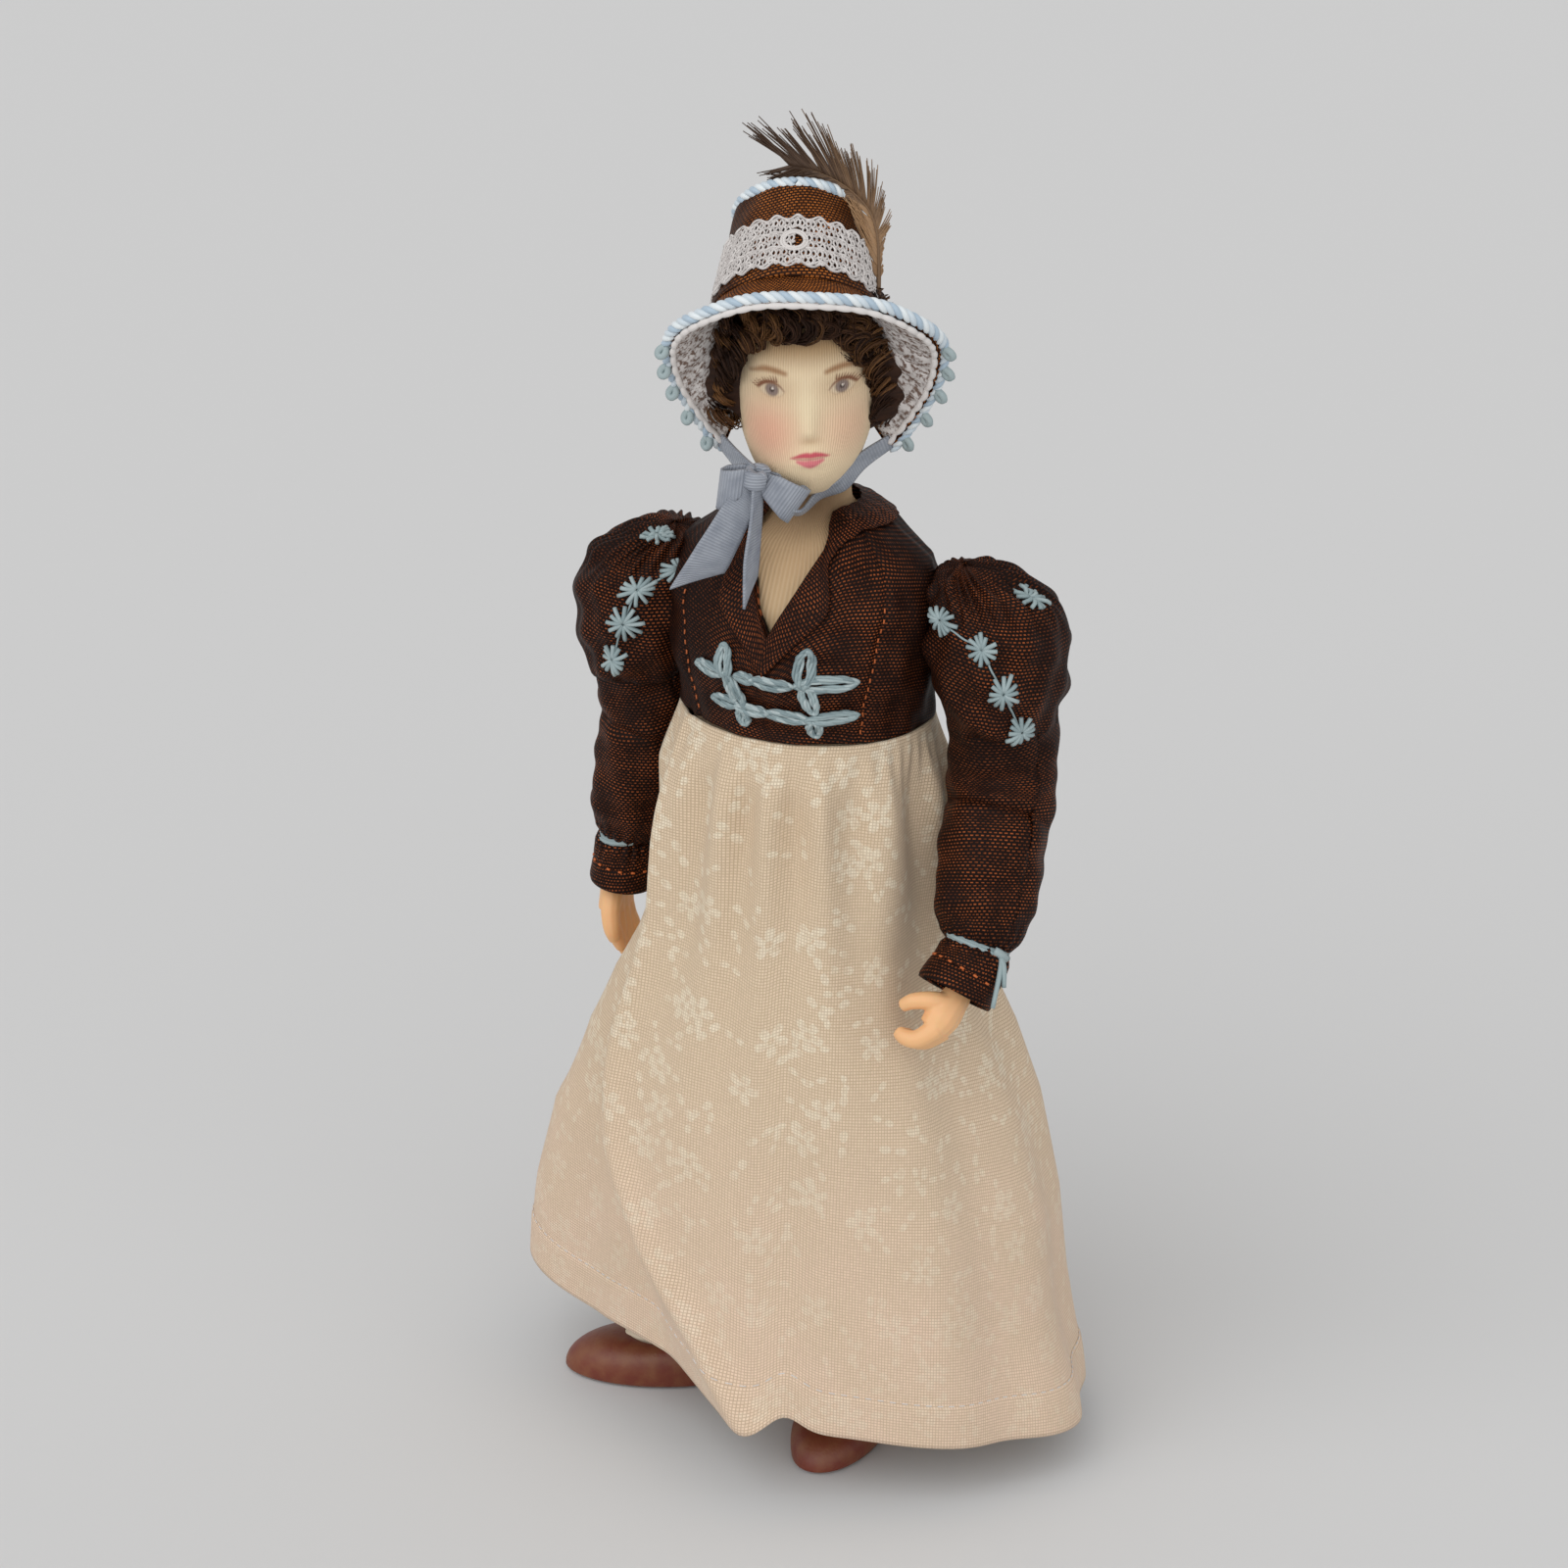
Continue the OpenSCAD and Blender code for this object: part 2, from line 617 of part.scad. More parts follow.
// Small picot drops hang from the cord round the lower part of the brim
drop_d = 1.5;
drop_angles = [76, 90, 103, 117, 132];
module picot_drops() {
    away = gap + cord_d + gap + drop_d / 2;
    color(blue) on_bonnet() for (side = [-1, 1], a = drop_angles)
        translate(brim_edge(side * a) + away * brim_out(side * a)) sphere(d = drop_d);
}

// The feather stands beside the crown and curls over its top
feather_t = 0.4;
feather_x = crown_r(crown_low + 3) + gap + lace_t + gap + feather_t;
feather_path = [for (p = [[0, 4.6, 3.9], [0, 6.6, 7.4], [-0.3, 8.4, 11], [-1.6, 9.6, 14],
    [-4.6, 10.5, 16.6], [-8.2, 11, 18.2], [-11.8, 11.2, 18.9]])
    brim_mid + [feather_x, 0, 0] + p];
feather_half_w = [0.4, 0.9, 1.4, 1.7, 1.7, 1.4, 0.5];
module feather() {
    last = len(feather_path) - 1;
    across = [for (i = [0:last]) unit([i / last, 1 - i / last, 0.6 * i / last])];
    color(hair) on_head() strip(feather_path, across, feather_half_w, feather_t / 2);
}

// Ribbon ties from the cheeks to the bow under the chin; the points start at the chin
chin = [0, 0, chin_z];
tie_half_w = ribbon_w / 4;
module tie(points) {
    path = [for (p = points) chin + p];
    color(slate) on_head() strip(path, [for (p = path) [0, 0.5, -0.85]],
        [for (p = path) tie_half_w], ribbon_t / 2);
}
module ribbon_tie_left() {
    tie([[10, 1.6, 3.2], [8.6, -1.5, 1.5], [5.4, -4.1, -0.6], [1.6, -5.1, -1.5], [-2.2, -5.4, -1.2]]);
}
module ribbon_tie_right() {
    tie([[-10, 1.6, 3.2], [-9, -1.5, 1.8], [-7.4, -4, 0.4], [-5.9, -5.3, -0.4]]);
}

knot = chin + [-4.2, -7.4, -0.4];
knot_r = 1.1;
module bow_knot() {
    color(slate) on_head() translate(knot) sphere(knot_r);
}

// Each loop of the bow is a bent strip, wide up and down
module bow_loop(side, reach) {
    bend = [[0.1, -0.2], [0.5, -1.5], [0.93, -1.2], [1, -0.2], [0.8, 0.5], [0.3, 0.6], [0.1, 0.45]];
    path = [for (b = bend) knot + [side * (knot_r + gap + reach * b.x - 0.1 * reach), b.y, 0]];
    strip(path, [for (p = path) [0, 0, 1]], [for (b = bend) 1 + (ribbon_w / 2 - 1) * b.x], ribbon_t / 2);
}
module bow_loops() {
    color(slate) on_head() {
        bow_loop(-1, 3.6);
        bow_loop(1, 4.4);
    }
}

module bow_tails() {
    long = [for (p = [[-1, -0.4, -1.6], [-3.6, -0.8, -5.4], [-8.2, -0.3, -12]]) knot + p];
    short = [for (p = [[0, -0.8, -1.8], [-0.7, -2.8, -6.6], [-0.9, -4.2, -11.6]]) knot + p];
    color(slate) on_head() {
        strip(long, [for (p = long) [1, 0.2, -0.5]], [0.7, 1.7, 1.7], ribbon_t / 2);
        strip(short, [for (p = short) [1, 0.5, 0]], [0.5, 0.7, 0.5], ribbon_t / 2);
    }
}

// Arms: side is 1 for the doll's left arm and -1 for its right arm
function arm_swing(side) = side > 0 ? 0 : arm_swing_right;
function elbow_bend(side) = side > 0 ? elbow_bend_left : elbow_bend_right;
function forearm_splay(side) = side > 0 ? forearm_splay_left : forearm_splay_right;
elbow_cut_z = elbow_z + sleeve_r + play;

module on_arm(side) {
    translate([side * shoulder_x, wire_y, shoulder_z]) rotate([arm_swing(side), 0, 0])
        translate([0, 0, -shoulder_z]) children();
}
module on_forearm(side) {
    on_arm(side) translate([0, 0, elbow_z]) rotate([-elbow_bend(side), 0, 0])
        rotate([0, -side * forearm_splay(side), 0])
        children();
}

// A round loft from levels of height and radius
module turned(levels) {
    loft([for (s = levels) ellipse_ring([0, 0, s[0]], s[1], s[1], limb_sides)]);
}
function dome(z, r, angles) = [for (a = angles) [z + r * sin(a), r * cos(a)]];
dome_angles = [0, 22, 42, 60, 76, 86];

arm_wire_high_z = shoulder_z - wire_r - play;
module upper_arm_stuffing(side) {
    color(skin) difference() {
        on_arm(side) turned(concat([[elbow_cut_z, arm_r]], dome(shoulder_z, arm_r, dome_angles)));
        wire_x(0, shoulder_z, shoulder_wire_l + gap, wire_r + wire_play);
        on_arm(side) translate([0, 0, elbow_cut_z - 1])
            cylinder(h = arm_wire_high_z - elbow_cut_z + 1 + gap, r = wire_r + gap);
    }
}
module upper_arm_wire(side) {
    color(steel) on_arm(side) translate([0, 0, elbow_cut_z])
        cylinder(h = arm_wire_high_z - elbow_cut_z, r = wire_r);
}

// The puffed sleeve swells out of its gathers at the narrow sleeve
puff_gather = 46;
puff_top_z = shoulder_z + 5.3;
puff_half_h = puff_h / (1 + sin(puff_gather));
puff_mid_z = puff_top_z - puff_half_h;
puff_low_z = puff_top_z - puff_h;
puff_angles = [-puff_gather, -30, -12, 6, 24, 42, 58, 72, 84];
puff_sides = 20;
puff_in = arm_r + gap;

module puff_sleeve(side) {
    outer = [for (a = puff_angles) ellipse_ring([0, 0, puff_mid_z + puff_half_h * sin(a)],
        puff_r * cos(a), puff_ry * cos(a), puff_sides)];
    inner = concat(
        [for (a = [84, 55, 28, 0]) ellipse_ring([0, 0, shoulder_z + puff_in * sin(a)],
            puff_in * cos(a), puff_in * cos(a), puff_sides)],
        [ellipse_ring([0, 0, puff_low_z], puff_in, puff_in, puff_sides)]);
    color(silk) difference() {
        on_arm(side) shell(outer, inner);
        wire_x(side * (shoulder_x - puff_r / 2), shoulder_z, puff_r / 2 + 1, wire_r + play);
    }
}

module upper_sleeve(side) {
    color(silk) on_arm(side) difference() {
        translate([0, 0, elbow_cut_z]) cylinder(h = puff_low_z - gap - elbow_cut_z, r = sleeve_r);
        translate([0, 0, elbow_cut_z - 1]) cylinder(h = puff_low_z - elbow_cut_z + 2, r = arm_r + gap);
    }
}

// Star stitches lie in a row across the front of each puff: bearing and height angle
star_places = [[-122, 30], [-102, 10], [-84, -8], [-66, -25], [-48, 38]];
star_r = 1.2;
star_t = 0.35;
star_rays = 8;
module star_stitches(side) {
    color(blue) on_arm(side) for (place = star_places)
        let (b = side > 0 ? place[0] : 180 - place[0], e = place[1])
        let (p = [puff_r * cos(e) * cos(b), puff_ry * cos(e) * sin(b), puff_mid_z + puff_half_h * sin(e)])
        let (n = unit([cos(e) * cos(b) / puff_r, cos(e) * sin(b) / puff_ry, sin(e) / puff_half_h]))
        translate(p + gap * n) rotate([0, acos(n.z), atan2(n.y, n.x)]) linear_extrude(star_t)
            polygon([for (i = [0:2 * star_rays - 1]) let (r = i % 2 == 0 ? star_r : 0.45 * star_r)
                [r * cos(180 * i / star_rays), r * sin(180 * i / star_rays)]]);
}

// The forearm hangs along -z of its own frame, from a dome at the elbow
cuff_end = forearm_l + 1.2;
tie_z = cuff_end - cuff_l;
tie_r = 2.55;
wrist_r = tie_r - sleeve_t - gap;
sleeve_levels = [[-cuff_end, tie_r + 0.8], [-tie_z - 1.2, tie_r + 0.45], [-tie_z, tie_r],
    [-tie_z + 1.2, tie_r + 0.6], [-tie_z + 5, sleeve_r], [-5, sleeve_r]];
forearm_levels = [[-forearm_l + 2.6, wrist_r], [-tie_z + 0.6, wrist_r],
    [-tie_z + 4.5, sleeve_r - sleeve_t - gap], [-5, sleeve_r - sleeve_t - gap]];

module forearm_stuffing(side) {
    color(skin) on_forearm(side) difference() {
        turned(concat(forearm_levels, dome(0, sleeve_r - sleeve_t - gap, dome_angles)));
        translate([0, 0, -forearm_l]) cylinder(h = forearm_l - 1, r = wire_r + gap);
    }
}
module forearm_wire(side) {
    color(steel) on_forearm(side) translate([0, 0, -forearm_l + 0.4])
        cylinder(h = forearm_l - 1.6, r = wire_r);
}
module lower_sleeve(side) {
    outer = concat(sleeve_levels, dome(0, sleeve_r, dome_angles));
    inside = concat([for (s = sleeve_levels) [s[0], s[1] - sleeve_t]],
        dome(0, sleeve_r - sleeve_t, dome_angles));
    last = len(inside) - 1;
    color(silk) on_forearm(side) shell(
        [for (s = outer) ellipse_ring([0, 0, s[0]], s[1], s[1], limb_sides)],
        [for (i = [last:-1:0]) ellipse_ring([0, 0, inside[i][0]], inside[i][1], inside[i][1], limb_sides)]);
}

cuff_thread_d = 0.7;
module cuff_tie(side) {
    color(blue) on_forearm(side) translate([0, 0, -tie_z]) rotate_extrude()
        translate([tie_r + gap + cuff_thread_d / 2, 0]) circle(d = cuff_thread_d);
}

// A mitten hand with a separate thumb, curled towards the body
hand_curl = 2.6;
hand_levels = [[-2, 1.5, 1.5], [-0.4, 1.6, 1.5], [1.2, hand_w / 2 - 0.2, hand_t / 2],
    [3.6, hand_w / 2, hand_t / 2], [5.6, hand_w / 2 - 0.2, hand_t / 2 - 0.1],
    [hand_l - 1, hand_w / 2 - 0.7, hand_t / 2 - 0.35], [hand_l, hand_w / 2 - 1.5, hand_t / 2 - 0.8]];
function curl_at(d) = hand_curl * pow(max(0, d - 1) / (hand_l - 1), 2);
module hand(side) {
    last = len(hand_levels) - 1;
    thumb = [for (p = thumb_path) [-side * p.x, -p.y, -forearm_l - p.z]];
    color(clay) on_forearm(side) difference() {
        union() {
            loft([for (i = [last:-1:0]) let (s = hand_levels[i])
                ellipse_ring([-side * curl_at(s[0]), 0, -forearm_l - s[0]], s[2], s[1], limb_sides)]);
            cord(thumb, [thumb_r, thumb_r, thumb_r, 0.6 * thumb_r]);
        }
        translate([0, 0, -forearm_l + 0.2]) cylinder(h = 4, r = wire_r + wire_play);
    }
}

// Legs hang from the hips, the right one leaning outward
knee_cut_z = knee_z + knee_r + play;
calf_r = knee_r - 0.2;
leg_wire_high_z = hip_z - wire_r - play;
function leg_lean(side) = side > 0 ? 0 : leg_lean_right;
function foot_x(side) = side * (hip_x + (hip_z - slipper_h) * sin(leg_lean(side)));
module on_leg(side) {
    translate([side * hip_x, wire_y, hip_z]) rotate([0, -side * leg_lean(side), 0])
        translate([0, 0, -hip_z]) children();
}
module on_foot(side) {
    translate([foot_x(side), wire_y, 0]) rotate(side * (side > 0 ? toe_out_left : toe_out_right))
        children();
}

module thigh_stuffing(side) {
    color(skin) difference() {
        on_leg(side)
            turned(concat([[knee_cut_z, knee_r], [hip_z - 8, thigh_r]], dome(hip_z, thigh_r, dome_angles)));
        wire_x(0, hip_z, hip_wire_l + gap, wire_r + wire_play);
        on_leg(side) translate([0, 0, knee_cut_z - 1])
            cylinder(h = leg_wire_high_z - knee_cut_z + 1 + gap, r = wire_r + gap);
    }
}
module thigh_wire(side) {
    color(steel) on_leg(side) translate([0, 0, knee_cut_z])
        cylinder(h = leg_wire_high_z - knee_cut_z, r = wire_r);
}

// Foot outlines are ovals that are wider at the toe, with the heel behind the leg
heel_l = 4;
ball = 0.12;
foot_sides = 20;
function foot_ring(z, l, w, heel) = [for (i = [0:foot_sides - 1]) let (a = 360 * i / foot_sides)
    [w / 2 * (1 - ball * sin(a)) * cos(a), heel - l / 2 + l / 2 * sin(a), z]];
foot_in = slipper_t + gap;
foot_low_z = slipper_t + gap;
function foot_rings(away) =
    let (l = slipper_l - 2 * foot_in + 2 * away, w = slipper_w - 2 * foot_in + 2 * away)
    let (heel = heel_l - foot_in + away)
    [foot_ring(foot_low_z - away, l - 1, w - 0.8, heel - 0.4), foot_ring(foot_low_z + 0.8, l, w, heel),
     foot_ring(foot_low_z + 1.6 + away, l - 1.4, w - 0.3, heel),
     foot_ring(slipper_h - 0.6, l - 6.5, w - 0.6, heel),
     foot_ring(slipper_h + 0.4, l - 9.5, w - 0.9, heel - 0.1),
     foot_ring(slipper_h + 2.4, 2 * ankle_r + 2 * away, 2 * ankle_r + 2 * away, ankle_r + away)];

shin_wire_low_z = slipper_h;
shin_wire_high_z = knee_z + 1;
module shin_stocking(side) {
    color(stocking) difference() {
        union() {
            on_leg(side) turned(concat([[slipper_h, ankle_r], [slipper_h + 4, ankle_r], [knee_z - 9, calf_r]],
                dome(knee_z, knee_r, dome_angles)));
            on_foot(side) loft(foot_rings(0));
        }
        on_leg(side) translate([0, 0, shin_wire_low_z - gap])
            cylinder(h = shin_wire_high_z - shin_wire_low_z + 2 * gap, r = wire_r + gap);
    }
}
module shin_wire(side) {
    color(steel) on_leg(side) translate([0, 0, shin_wire_low_z])
        cylinder(h = shin_wire_high_z - shin_wire_low_z, r = wire_r);
}
module slipper(side) {
    color(leather) on_foot(side) difference() {
        loft([foot_ring(0, slipper_l - 0.8, slipper_w - 0.6, heel_l - 0.3),
            foot_ring(0.8, slipper_l, slipper_w, heel_l),
            foot_ring(2.4, slipper_l - 0.6, slipper_w - 0.1, heel_l),
            foot_ring(slipper_h - 0.6, slipper_l - 3.2, slipper_w - 0.4, heel_l),
            foot_ring(slipper_h, slipper_l - 7, slipper_w - 0.8, heel_l - 0.1)]);
        loft(foot_rings(gap));
    }
}

torso_stuffing();
spine_wire();
jacket_body();
jacket_collar();
frog_upper();
frog_lower();
skirt();
skirt_waistband();
neck_stuffing();
neck_wire();
head_stuffing();
wig();
bonnet_crown();
bonnet_crown_top();
bonnet_brim();
brim_lining();
brim_cord();
picot_drops();
crown_cord();
lace_band();
feather();
ribbon_tie_left();
ribbon_tie_right();
bow_knot();
bow_loops();
bow_tails();
upper_arm_stuffing(1);  // upper_arm_stuffing_left
upper_arm_wire(1);  // upper_arm_wire_left
puff_sleeve(1);  // puff_sleeve_left
upper_sleeve(1);  // upper_sleeve_left
star_stitches(1);  // star_stitches_left
forearm_stuffing(1);  // forearm_stuffing_left
forearm_wire(1);  // forearm_wire_left
lower_sleeve(1);  // lower_sleeve_left
cuff_tie(1);  // cuff_tie_left
hand(1);  // hand_left
upper_arm_stuffing(-1);  // upper_arm_stuffing_right
upper_arm_wire(-1);  // upper_arm_wire_right
puff_sleeve(-1);  // puff_sleeve_right
upper_sleeve(-1);  // upper_sleeve_right
star_stitches(-1);  // star_stitches_right
forearm_stuffing(-1);  // forearm_stuffing_right
forearm_wire(-1);  // forearm_wire_right
lower_sleeve(-1);  // lower_sleeve_right
cuff_tie(-1);  // cuff_tie_right
hand(-1);  // hand_right
thigh_stuffing(1);  // thigh_stuffing_left
thigh_wire(1);  // thigh_wire_left
shin_stocking(1);  // shin_stocking_left
shin_wire(1);  // shin_wire_left
slipper(1);  // slipper_left
thigh_stuffing(-1);  // thigh_stuffing_right
thigh_wire(-1);  // thigh_wire_right
shin_stocking(-1);  // shin_stocking_right
shin_wire(-1);  // shin_wire_right
slipper(-1);  // slipper_right
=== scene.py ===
"""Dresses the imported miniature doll: cloth, hair, lace, trims, painted face, stage and camera."""
import bpy
import json
import math
import numpy as np
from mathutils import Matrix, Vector


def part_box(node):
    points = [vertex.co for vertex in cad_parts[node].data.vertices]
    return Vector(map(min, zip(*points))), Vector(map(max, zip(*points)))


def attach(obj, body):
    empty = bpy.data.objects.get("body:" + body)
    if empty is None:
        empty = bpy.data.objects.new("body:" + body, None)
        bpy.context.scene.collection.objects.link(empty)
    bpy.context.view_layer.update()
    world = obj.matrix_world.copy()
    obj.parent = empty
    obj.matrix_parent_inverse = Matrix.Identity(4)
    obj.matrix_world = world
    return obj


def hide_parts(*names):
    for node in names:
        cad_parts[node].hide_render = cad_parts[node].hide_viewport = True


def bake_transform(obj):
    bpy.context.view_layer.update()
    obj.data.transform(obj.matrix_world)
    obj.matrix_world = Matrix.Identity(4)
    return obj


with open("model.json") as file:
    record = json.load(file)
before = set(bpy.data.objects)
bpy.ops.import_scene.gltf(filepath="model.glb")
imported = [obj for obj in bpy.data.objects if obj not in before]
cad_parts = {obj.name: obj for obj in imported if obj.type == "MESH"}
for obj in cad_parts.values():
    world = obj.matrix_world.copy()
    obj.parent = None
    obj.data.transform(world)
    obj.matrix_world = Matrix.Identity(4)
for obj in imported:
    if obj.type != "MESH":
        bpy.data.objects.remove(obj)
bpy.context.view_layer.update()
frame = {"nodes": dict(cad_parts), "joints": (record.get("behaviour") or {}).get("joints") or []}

bl_info = {
    "name": "Miniature Doll Dressing",
    "version": (1, 0, 0),
    "blender": (4, 5, 0),
    "location": "View3D > Sidebar > Doll",
    "description": "Models the soft pieces, trims and finishes of a dressed miniature doll",
    "category": "Object",
}

MM = 0.001
TAU = 2 * math.pi
RANDOM_SEED = 7
# How strongly the skirt's cast and fading show at the hem
HEM_CAST = 1.7
JOINTS = {joint["name"]: joint for joint in frame["joints"]}
SIDES = {"left": 1, "right": -1}


def joint_place(name):
    """Where a joint turns, in millimetres."""
    return np.array(JOINTS[name]["pos_m"]) / MM


NECK_AXIS = joint_place("neck_turn")
NOD = joint_place("head_nod")
HEAD_TURN = math.atan2(JOINTS["head_nod"]["axis"][1], JOINTS["head_nod"]["axis"][0])
# The head sits a little to the right of the neck's middle
HEAD_SHIFT = np.array([-0.65, -0.26, 0.0])


def linear(hex_colour):
    """A colour written as sRGB hex, turned to the linear values that shaders take."""
    parts = [int(hex_colour[i:i + 2], 16) / 255 for i in (1, 3, 5)]
    return tuple(c / 12.92 if c <= 0.04045 else ((c + 0.055) / 1.055) ** 2.4 for c in parts)


def colour(label, about, hex_colour):
    """A colour that a user would change."""
    return bpy.props.FloatVectorProperty(name=label, description=about, subtype="COLOR",
                                         default=linear(hex_colour), min=0, max=1)


def length(label, about, millimetres):
    """A size in millimetres that a user would change."""
    return bpy.props.FloatProperty(name=label, description=about, default=millimetres, min=0)


class DollColours(bpy.types.PropertyGroup):
    """Colours of the doll's cloth, skin and trims."""
    skin: colour("Skin", "Knit of the face and neck", "#EED8B6")
    skin_shade: colour("Skin shade", "Valleys of the knit and the chest", "#D2B690")
    blush: colour("Blush", "Painted cheeks", "#DD8A78")
    lips: colour("Lips", "Painted mouth", "#CC4A60")
    lids: colour("Lids", "Painted lids and lashes", "#7E4A2E")
    brows: colour("Brows", "Painted eyebrows", "#9A6638")
    iris: colour("Iris", "Painted eyes", "#8C7C76")
    clay: colour("Clay", "Modelled hands", "#EDB883")
    silk_ground: colour("Silk ground", "Dark threads of the jacket", "#160906")
    silk_thread: colour("Silk thread", "Copper threads of the jacket", "#A0552D")
    bonnet_ground: colour("Bonnet ground", "Dark threads of the bonnet", "#2A1307")
    bonnet_thread: colour("Bonnet thread", "Copper threads of the bonnet", "#C0702F")
    seam_thread: colour("Seam thread", "Orange stitches", "#C4642A")
    cotton: colour("Cotton", "Ground of the skirt", "#E8D2B6")
    cotton_shade: colour("Cotton shade", "Warm cast towards the hem", "#F2D8C0")
    sprig: colour("Sprig", "Pale print on the skirt", "#FBF1DC")
    floss: colour("Floss", "Grey blue embroidery floss", "#95A6A8")
    floss_shade: colour("Floss shade", "Dark side of the floss", "#6C7F84")
    floss_pale: colour("Floss, pale", "Lit side of the floss", "#C3CDCE")
    # The satin cord's palest strand is a painted highlight on the blue satin
    cord_highlight: colour("Cord, pale", "Light strand of the satin cord", "#E2E9EC")
    cord_mid: colour("Cord, mid", "Middle strand of the satin cord", "#A5BACB")
    cord_deep: colour("Cord, deep", "Dark strand of the satin cord", "#7C97B2")
    ribbon: colour("Ribbon", "Slate blue silk ribbon", "#A0A5AE")
    ribbon_shade: colour("Ribbon shade", "Valleys of the ribbon's ribs", "#7A808C")
    hair: colour("Hair", "Curled fibre of the wig", "#40281A")
    hair_light: colour("Hair, light", "Lit curls of the wig", "#74502E")
    lace: colour("Lace", "White lace threads", "#DCD7D4")
    lining: colour("Lining", "Mottled lining of the brim", "#B8B2AF")
    speck: colour("Specks", "Dark silk that shows through the lining", "#6B564B")
    feather: colour("Feather", "Base of the feather's barbs", "#A98560")
    feather_tip: colour("Feather tip", "Dark tips of the barbs", "#46301F")
    leather: colour("Leather", "Slippers", "#713120")
    stocking: colour("Stocking", "White knit stockings", "#E4DCCF")


class DollSizes(bpy.types.PropertyGroup):
    """Sizes of what the dressing adds, in millimetres."""
    silk_pitch: length("Silk pitch", "Distance between the silk's threads", 0.45)
    cotton_pitch: length("Cotton pitch", "Distance between the cotton's threads", 0.32)
    knit_pitch: length("Knit pitch", "Distance between the knit's ribs", 0.36)
    ribbon_pitch: length("Ribbon pitch", "Distance between the ribbon's ribs", 0.3)
    sprig_pitch: length("Sprig pitch", "Distance between the printed flowers", 7.5)
    cord_width: length("Cord width", "Width of the satin cord", 1.1)
    cord_twist: length("Cord twist", "Length of one twist of the satin cord", 2.6)
    lace_mesh: length("Lace mesh", "Width of one mesh of the lace", 0.52)


def sizes():
    return bpy.context.scene.doll_sizes


def colours():
    return bpy.context.scene.doll_colours


def tint(name):
    """One of the doll's colours with full alpha."""
    return (*getattr(colours(), name), 1.0)


# Small shaping helpers on arrays

def ease(low, high, x):
    """0 below low, 1 above high, smooth between."""
    t = np.clip((np.asarray(x, float) - low) / (high - low), 0, 1)
    return t * t * (3 - 2 * t)


def hump(x, middle, width):
    """A soft bump of height 1."""
    return np.exp(-((np.asarray(x, float) - middle) / width) ** 2)


def ripple(x, y, waves):
    """A sum of slow waves, for creases: each wave is its two frequencies, phase and height."""
    return sum(height * np.sin(fx * x + fy * y + phase) for fx, fy, phase, height in waves)


def unit(v):
    return v / np.linalg.norm(v, axis=-1, keepdims=True)


def turned(points, angle):
    """Points turned about the neck's upright axis."""
    c, s = math.cos(angle), math.sin(angle)
    x, y = points[..., 0] - NECK_AXIS[0], points[..., 1] - NECK_AXIS[1]
    return np.stack([c * x - s * y + NECK_AXIS[0], s * x + c * y + NECK_AXIS[1], points[..., 2]], -1)


def on_head(points):
    """From a head that faces forward to the head as it is turned at rest."""
    return turned(np.asarray(points, float), HEAD_TURN) + HEAD_SHIFT


def off_head(points):
    """Back from the turned head to one that faces forward."""
    return turned(np.asarray(points, float) - HEAD_SHIFT, -HEAD_TURN)


def curve_points(points, count):
    """A smooth path through a few points, as count points at even steps of the parameter."""
    points = np.asarray(points, float)
    padded = np.vstack([2 * points[0] - points[1], points, 2 * points[-1] - points[-2]])
    t = np.linspace(0, len(points) - 1 - 1e-6, count)
    i = t.astype(int)
    f = (t - i)[:, None]
    a, b, c, d = (padded[i + k] for k in range(4))
    square, cube = 2 * a - 5 * b + 4 * c - d, 3 * b - a - 3 * c + d
    return 0.5 * (2 * b + (c - a) * f + square * f ** 2 + cube * f ** 3)


def frames_along(path):
    """Directions along a path, and two directions square to it that do not spin."""
    ahead = unit(np.gradient(path, axis=0))
    side = np.empty_like(path)
    start = np.cross(ahead[0], [0.31, 0.52, 0.8])
    side[0] = start / np.linalg.norm(start)
    for i in range(1, len(path)):
        s = side[i - 1] - ahead[i] * np.dot(side[i - 1], ahead[i])
        side[i] = s / np.linalg.norm(s)
    return ahead, side, np.cross(ahead, side)


# Making pieces

def start_piece(name):
    """Names the new active object and its mesh."""
    piece = bpy.context.object
    piece.name = name
    piece.data.name = name
    return piece


def deselect():
    bpy.ops.object.select_all(action="DESELECT")


def choose(piece):
    """Makes one piece the only selected and active object."""
    deselect()
    piece.select_set(True)
    bpy.context.view_layer.objects.active = piece


def edit(piece, *steps):
    """Runs edit-mode operators on the whole of a piece; each step is an operator and its settings."""
    choose(piece)
    bpy.ops.object.mode_set(mode="EDIT")
    bpy.ops.mesh.select_all(action="SELECT")
    for operator, settings in steps:
        operator(**settings)
    bpy.ops.object.mode_set(mode="OBJECT")


def modify(piece, kind, **settings):
    """Adds a modifier and applies it."""
    choose(piece)
    modifier = piece.modifiers.new(kind.title(), kind)
    for key, value in settings.items():
        setattr(modifier, key, value)
    bpy.ops.object.modifier_apply(modifier=modifier.name)


def face_out(piece, closed=False):
    """Turns all faces outward, after filling open rims if the piece is closed."""
    rims = [(bpy.ops.mesh.fill_holes, {"sides": 0})] if closed else []
    edit(piece, *rims, (bpy.ops.mesh.normals_make_consistent, {}))


def read_at(i, steps, *lines):
    """Points of lines at i, where steps says which value of i each of their points has."""
    return [np.stack([np.interp(i, steps, line[:, k]) for k in range(3)], -1) for line in lines]


